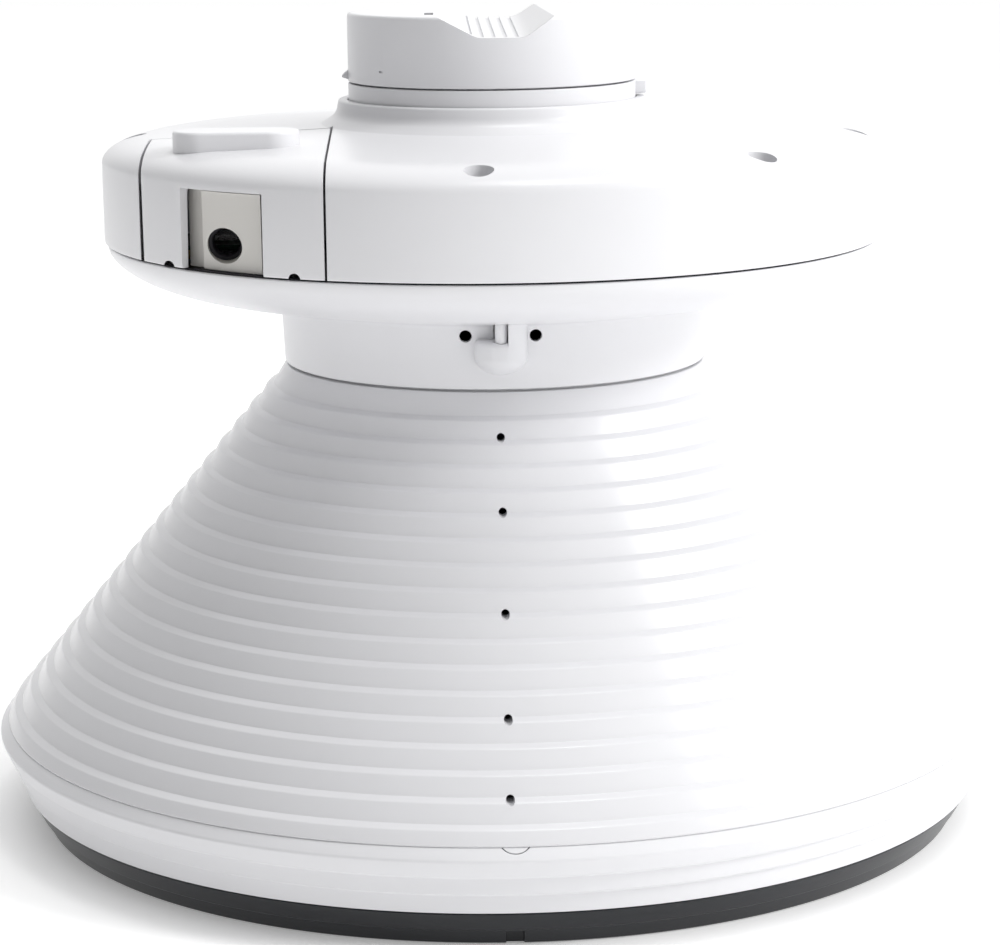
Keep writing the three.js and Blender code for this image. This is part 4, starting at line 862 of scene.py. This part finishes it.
def mounting_band():
    node = "mounting_band"
    top = high(node).z
    radius, floor = high(node).y, COLLAR_FOOT_Z - 2.1
    corners = [
        (BAND_INSIDE, floor, 0), (radius, floor, 0.3), (radius, BAND_TOP, 0.45), (BAND_LIP, BAND_TOP, 0),
        (BAND_LIP, top, 0.6), (BAND_INSIDE, top, 0.3), (BAND_INSIDE, BRIDGE_TOP, 0), (BRIDGE_BORE, BRIDGE_TOP, 0.3),
        (BRIDGE_BORE, BRIDGE_BOTTOM, 0.3), (BAND_INSIDE, BRIDGE_BOTTOM, 0),
    ]
    band = lathe(node, corners)
    tab = block("tab", (-6, -high(node).x, 264.9), (6, -radius + 2, BAND_TOP), 0.7, facing(90))
    joined(band, tab)
    for azimuth in (90, 210, 330):
        x, y = at((radius + BAND_INSIDE) / 2, azimuth)
        joined(band, upright("peg", 0.9, low(node).z, floor + 1, x, y, FINE))
    x, y = at(30, 200)
    cut(band, upright("detent", 2.7, BRIDGE_TOP - 3, BRIDGE_TOP + 1, x, y, FINE))
    finish_piece(band, white, "antenna", "white_shell", node)


def scoop_outline():
    """The finger scoop from the front: its floor runs into its two sloping sides by soft bends."""
    top = 300
    rise = (top - SCOOP_FRONT) / (high("turning_cap").z - SCOOP_FRONT)
    left = FLOOR_LEFT - (FLOOR_LEFT - SCOOP_LEFT) * rise
    right = FLOOR_RIGHT + (SCOOP_RIGHT - FLOOR_RIGHT) * rise
    corners = [(FLOOR_LEFT, SCOOP_FRONT, 9), (FLOOR_RIGHT, SCOOP_FRONT, 9), (right, top, 0), (left, top, 0)]
    return rounded(corners, 8)


def scoop_cut(name, lower=0.0):
    """The scoop's space, its floor tipped up towards the back."""
    reach = 60
    radius = high("turning_cap").y
    tip = Matrix.Rotation(math.atan((SCOOP_BACK - SCOOP_FRONT) / (2 * radius)), 4, "X")
    middle_height = (SCOOP_FRONT + SCOOP_BACK) / 2 - lower
    place = Matrix.Translation((0, 0, middle_height)) @ tip @ Matrix.Translation((0, 0, -SCOOP_FRONT))
    return prism(name, scoop_outline(), -reach, 2 * reach, lambda u, v, w: place @ Vector((u, w, v)))


def turning_cap():
    node = "turning_cap"
    bottom, top = low(node).z, high(node).z
    radius = high(node).x
    corners = [
        (radius - CAP_WALL, bottom, 0.2), (radius, bottom, 0.45), (radius, top, 1.3), (0, top, 0),
        (0, STEM_END, 0), (STEM_RADIUS, STEM_END, 0.4), (STEM_RADIUS, CAP_CEILING, 0.5),
        (radius - CAP_WALL, CAP_CEILING, 1),
    ]
    cap = lathe(node, corners)
    tab_reach = -low(node).x
    lip = [
        (radius - 2, bottom + 0.1), (tab_reach, bottom + 1.5), (tab_reach, bottom + 2.2),
        (radius - 0.6, bottom + 4.5), (radius - 2, bottom + 4.5),
    ]
    tab = prism("tab", lip, -4, 8, lambda u, v, w: (-u, w, v))
    joined(cap, tab)
    cut(cap, scoop_cut("scoop"))
    for i in range(GRIP_COUNT):
        x = GRIP_FIRST + GRIP_PITCH * i
        lowest, highest = (x, GRIP_MARGIN - radius, SCOOP_FRONT - 2), (x + GRIP_WIDTH, radius + 1, top + 1)
        groove = block("groove", lowest, highest, 0.35)
        cut(cap, kept(groove, scoop_cut("skin", GRIP_DEPTH)))
    cut(cap, upright("screw", 2.1, 270, 285, facets=FINE))
    slot = block("slot", (-0.95, -radius - 1, bottom + 4.9), (0.95, -radius + 0.6, bottom + 5.5), 0, facing(-50))
    pointer = block("pointer", (POINTER_LEFT, POINTER_FRONT, top - 0.5), (POINTER_RIGHT, POINTER_BACK, top + 1))
    cut(cap, slot, pointer)
    finish_piece(cap, white, "cap", "white_shell", node)


def pointer_fill():
    """Dark paint in the pointer groove on the cap."""
    top = high("turning_cap").z
    lowest = (POINTER_LEFT + FILL_INSET, POINTER_FRONT + FILL_INSET, top - 0.6)
    highest = (POINTER_RIGHT - FILL_INSET, POINTER_BACK - FILL_INSET, top - 0.35)
    fill = block("pointer_fill", lowest, highest)
    shade(fill)
    fill.data.materials.append(ink)
    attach(fill, "cap")


# ---------------------------------------------------------------- stage
WORLD_BRIGHT_SIDE = (0.72, 0.62, 0.3)  # direction that the soft daylight comes from
WORLD_DARK, WORLD_LIGHT = 0.04, 1.15
FLOOR_GLOW, FLOOR_SIZE, FLOOR_DROP = 0.24, 20000, 0.0002
LIGHTS = (  # name, size, power, place, aim
    ("key", 0.8, 30, (2.0, -0.8, 1.5), (0, 0, 0.15)),
    ("top", 0.8, 9, (0.3, -0.1, 2.3), (0, 0, 0.2)),
)


def daylight():
    """Soft light all round, brighter behind and on the right than on the left."""
    world = bpy.data.worlds.new("studio")
    world.use_nodes = True
    nodes, links = world.node_tree.nodes, world.node_tree.links
    nodes["Background"].inputs["Color"].default_value = (1, 1, 1, 1)
    place = nodes.new("ShaderNodeTexCoord")
    side = nodes.new("ShaderNodeVectorMath")
    side.operation = "DOT_PRODUCT"
    side.inputs[1].default_value = WORLD_BRIGHT_SIDE
    links.new(place.outputs["Generated"], side.inputs[0])
    strength = value_map(nodes, links, side.outputs["Value"], WORLD_DARK, WORLD_LIGHT, -0.7, 0.5)
    links.new(strength, nodes["Background"].inputs["Strength"])
    bpy.context.scene.world = world


def studio():
    """A pale floor that glows a little, the daylight, and two soft lamps."""
    bm = bmesh.new()
    bmesh.ops.create_grid(bm, x_segments=2, y_segments=2, size=FLOOR_SIZE)
    floor = new_mesh("floor", bm)
    material, nodes, _ = node_tree("pale_floor")
    shader = nodes["Principled BSDF"]
    shader.inputs["Base Color"].default_value = (0.93, 0.93, 0.93, 1)
    shader.inputs["Roughness"].default_value = 0.9
    shader.inputs["Specular IOR Level"].default_value = 0.1
    shader.inputs["Emission Color"].default_value = (1, 1, 1, 1)
    shader.inputs["Emission Strength"].default_value = FLOOR_GLOW
    floor.data.materials.append(material)
    floor.location.z = -FLOOR_DROP
    daylight()
    for name, size, power, place, aim in LIGHTS:
        light = bpy.data.lights.new(name, "AREA")
        light.shape = "DISK"
        light.size = size
        light.energy = power
        lamp = bpy.data.objects.new(name, light)
        lamp.location = place
        lamp.rotation_euler = (Vector(aim) - Vector(place)).to_track_quat("-Z", "Y").to_euler()
        bpy.context.scene.collection.objects.link(lamp)


def camera():
    """Slightly left of the front and above it, close enough to show the perspective."""
    data = bpy.data.cameras.new("camera")
    data.sensor_width = 36
    data.lens = 107.57
    data.clip_end = 50
    eye = bpy.data.objects.new("camera", data)
    azimuth, elevation, roll = math.radians(-1.6), math.radians(11.49), math.radians(-0.62)
    distance, height, aside = 1.1037, 0.3472, 0.00143
    stand = Matrix.Rotation(azimuth, 4, "Z") @ Matrix.Translation((aside, -distance, height))
    eye.matrix_world = stand @ Matrix.Rotation(math.pi / 2 - elevation, 4, "X") @ Matrix.Rotation(roll, 4, "Z")
    bpy.context.scene.collection.objects.link(eye)
    bpy.context.scene.camera = eye


camera()
studio()
paint_frame()
foot_ring()
window_sheet()
for seal in ("window_seal", "neck_seal", "housing_seal"):
    seal_ring(seal)
rim_ring()
horn_shroud()
lower_housing()
lock_pin()
lock_spring()
upper_housing()
service_cover()
entry_block()
entry_grommet()
mounting_band()
turning_cap()
pointer_fill()
for number in range(RING_SCREWS):
    cross_screw(f"ring_screw_{number + 1}")
for number in range(HOUSING_SCREWS):
    cross_screw(f"housing_screw_{number + 1}")

bpy.context.scene.view_settings.view_transform = "Standard"
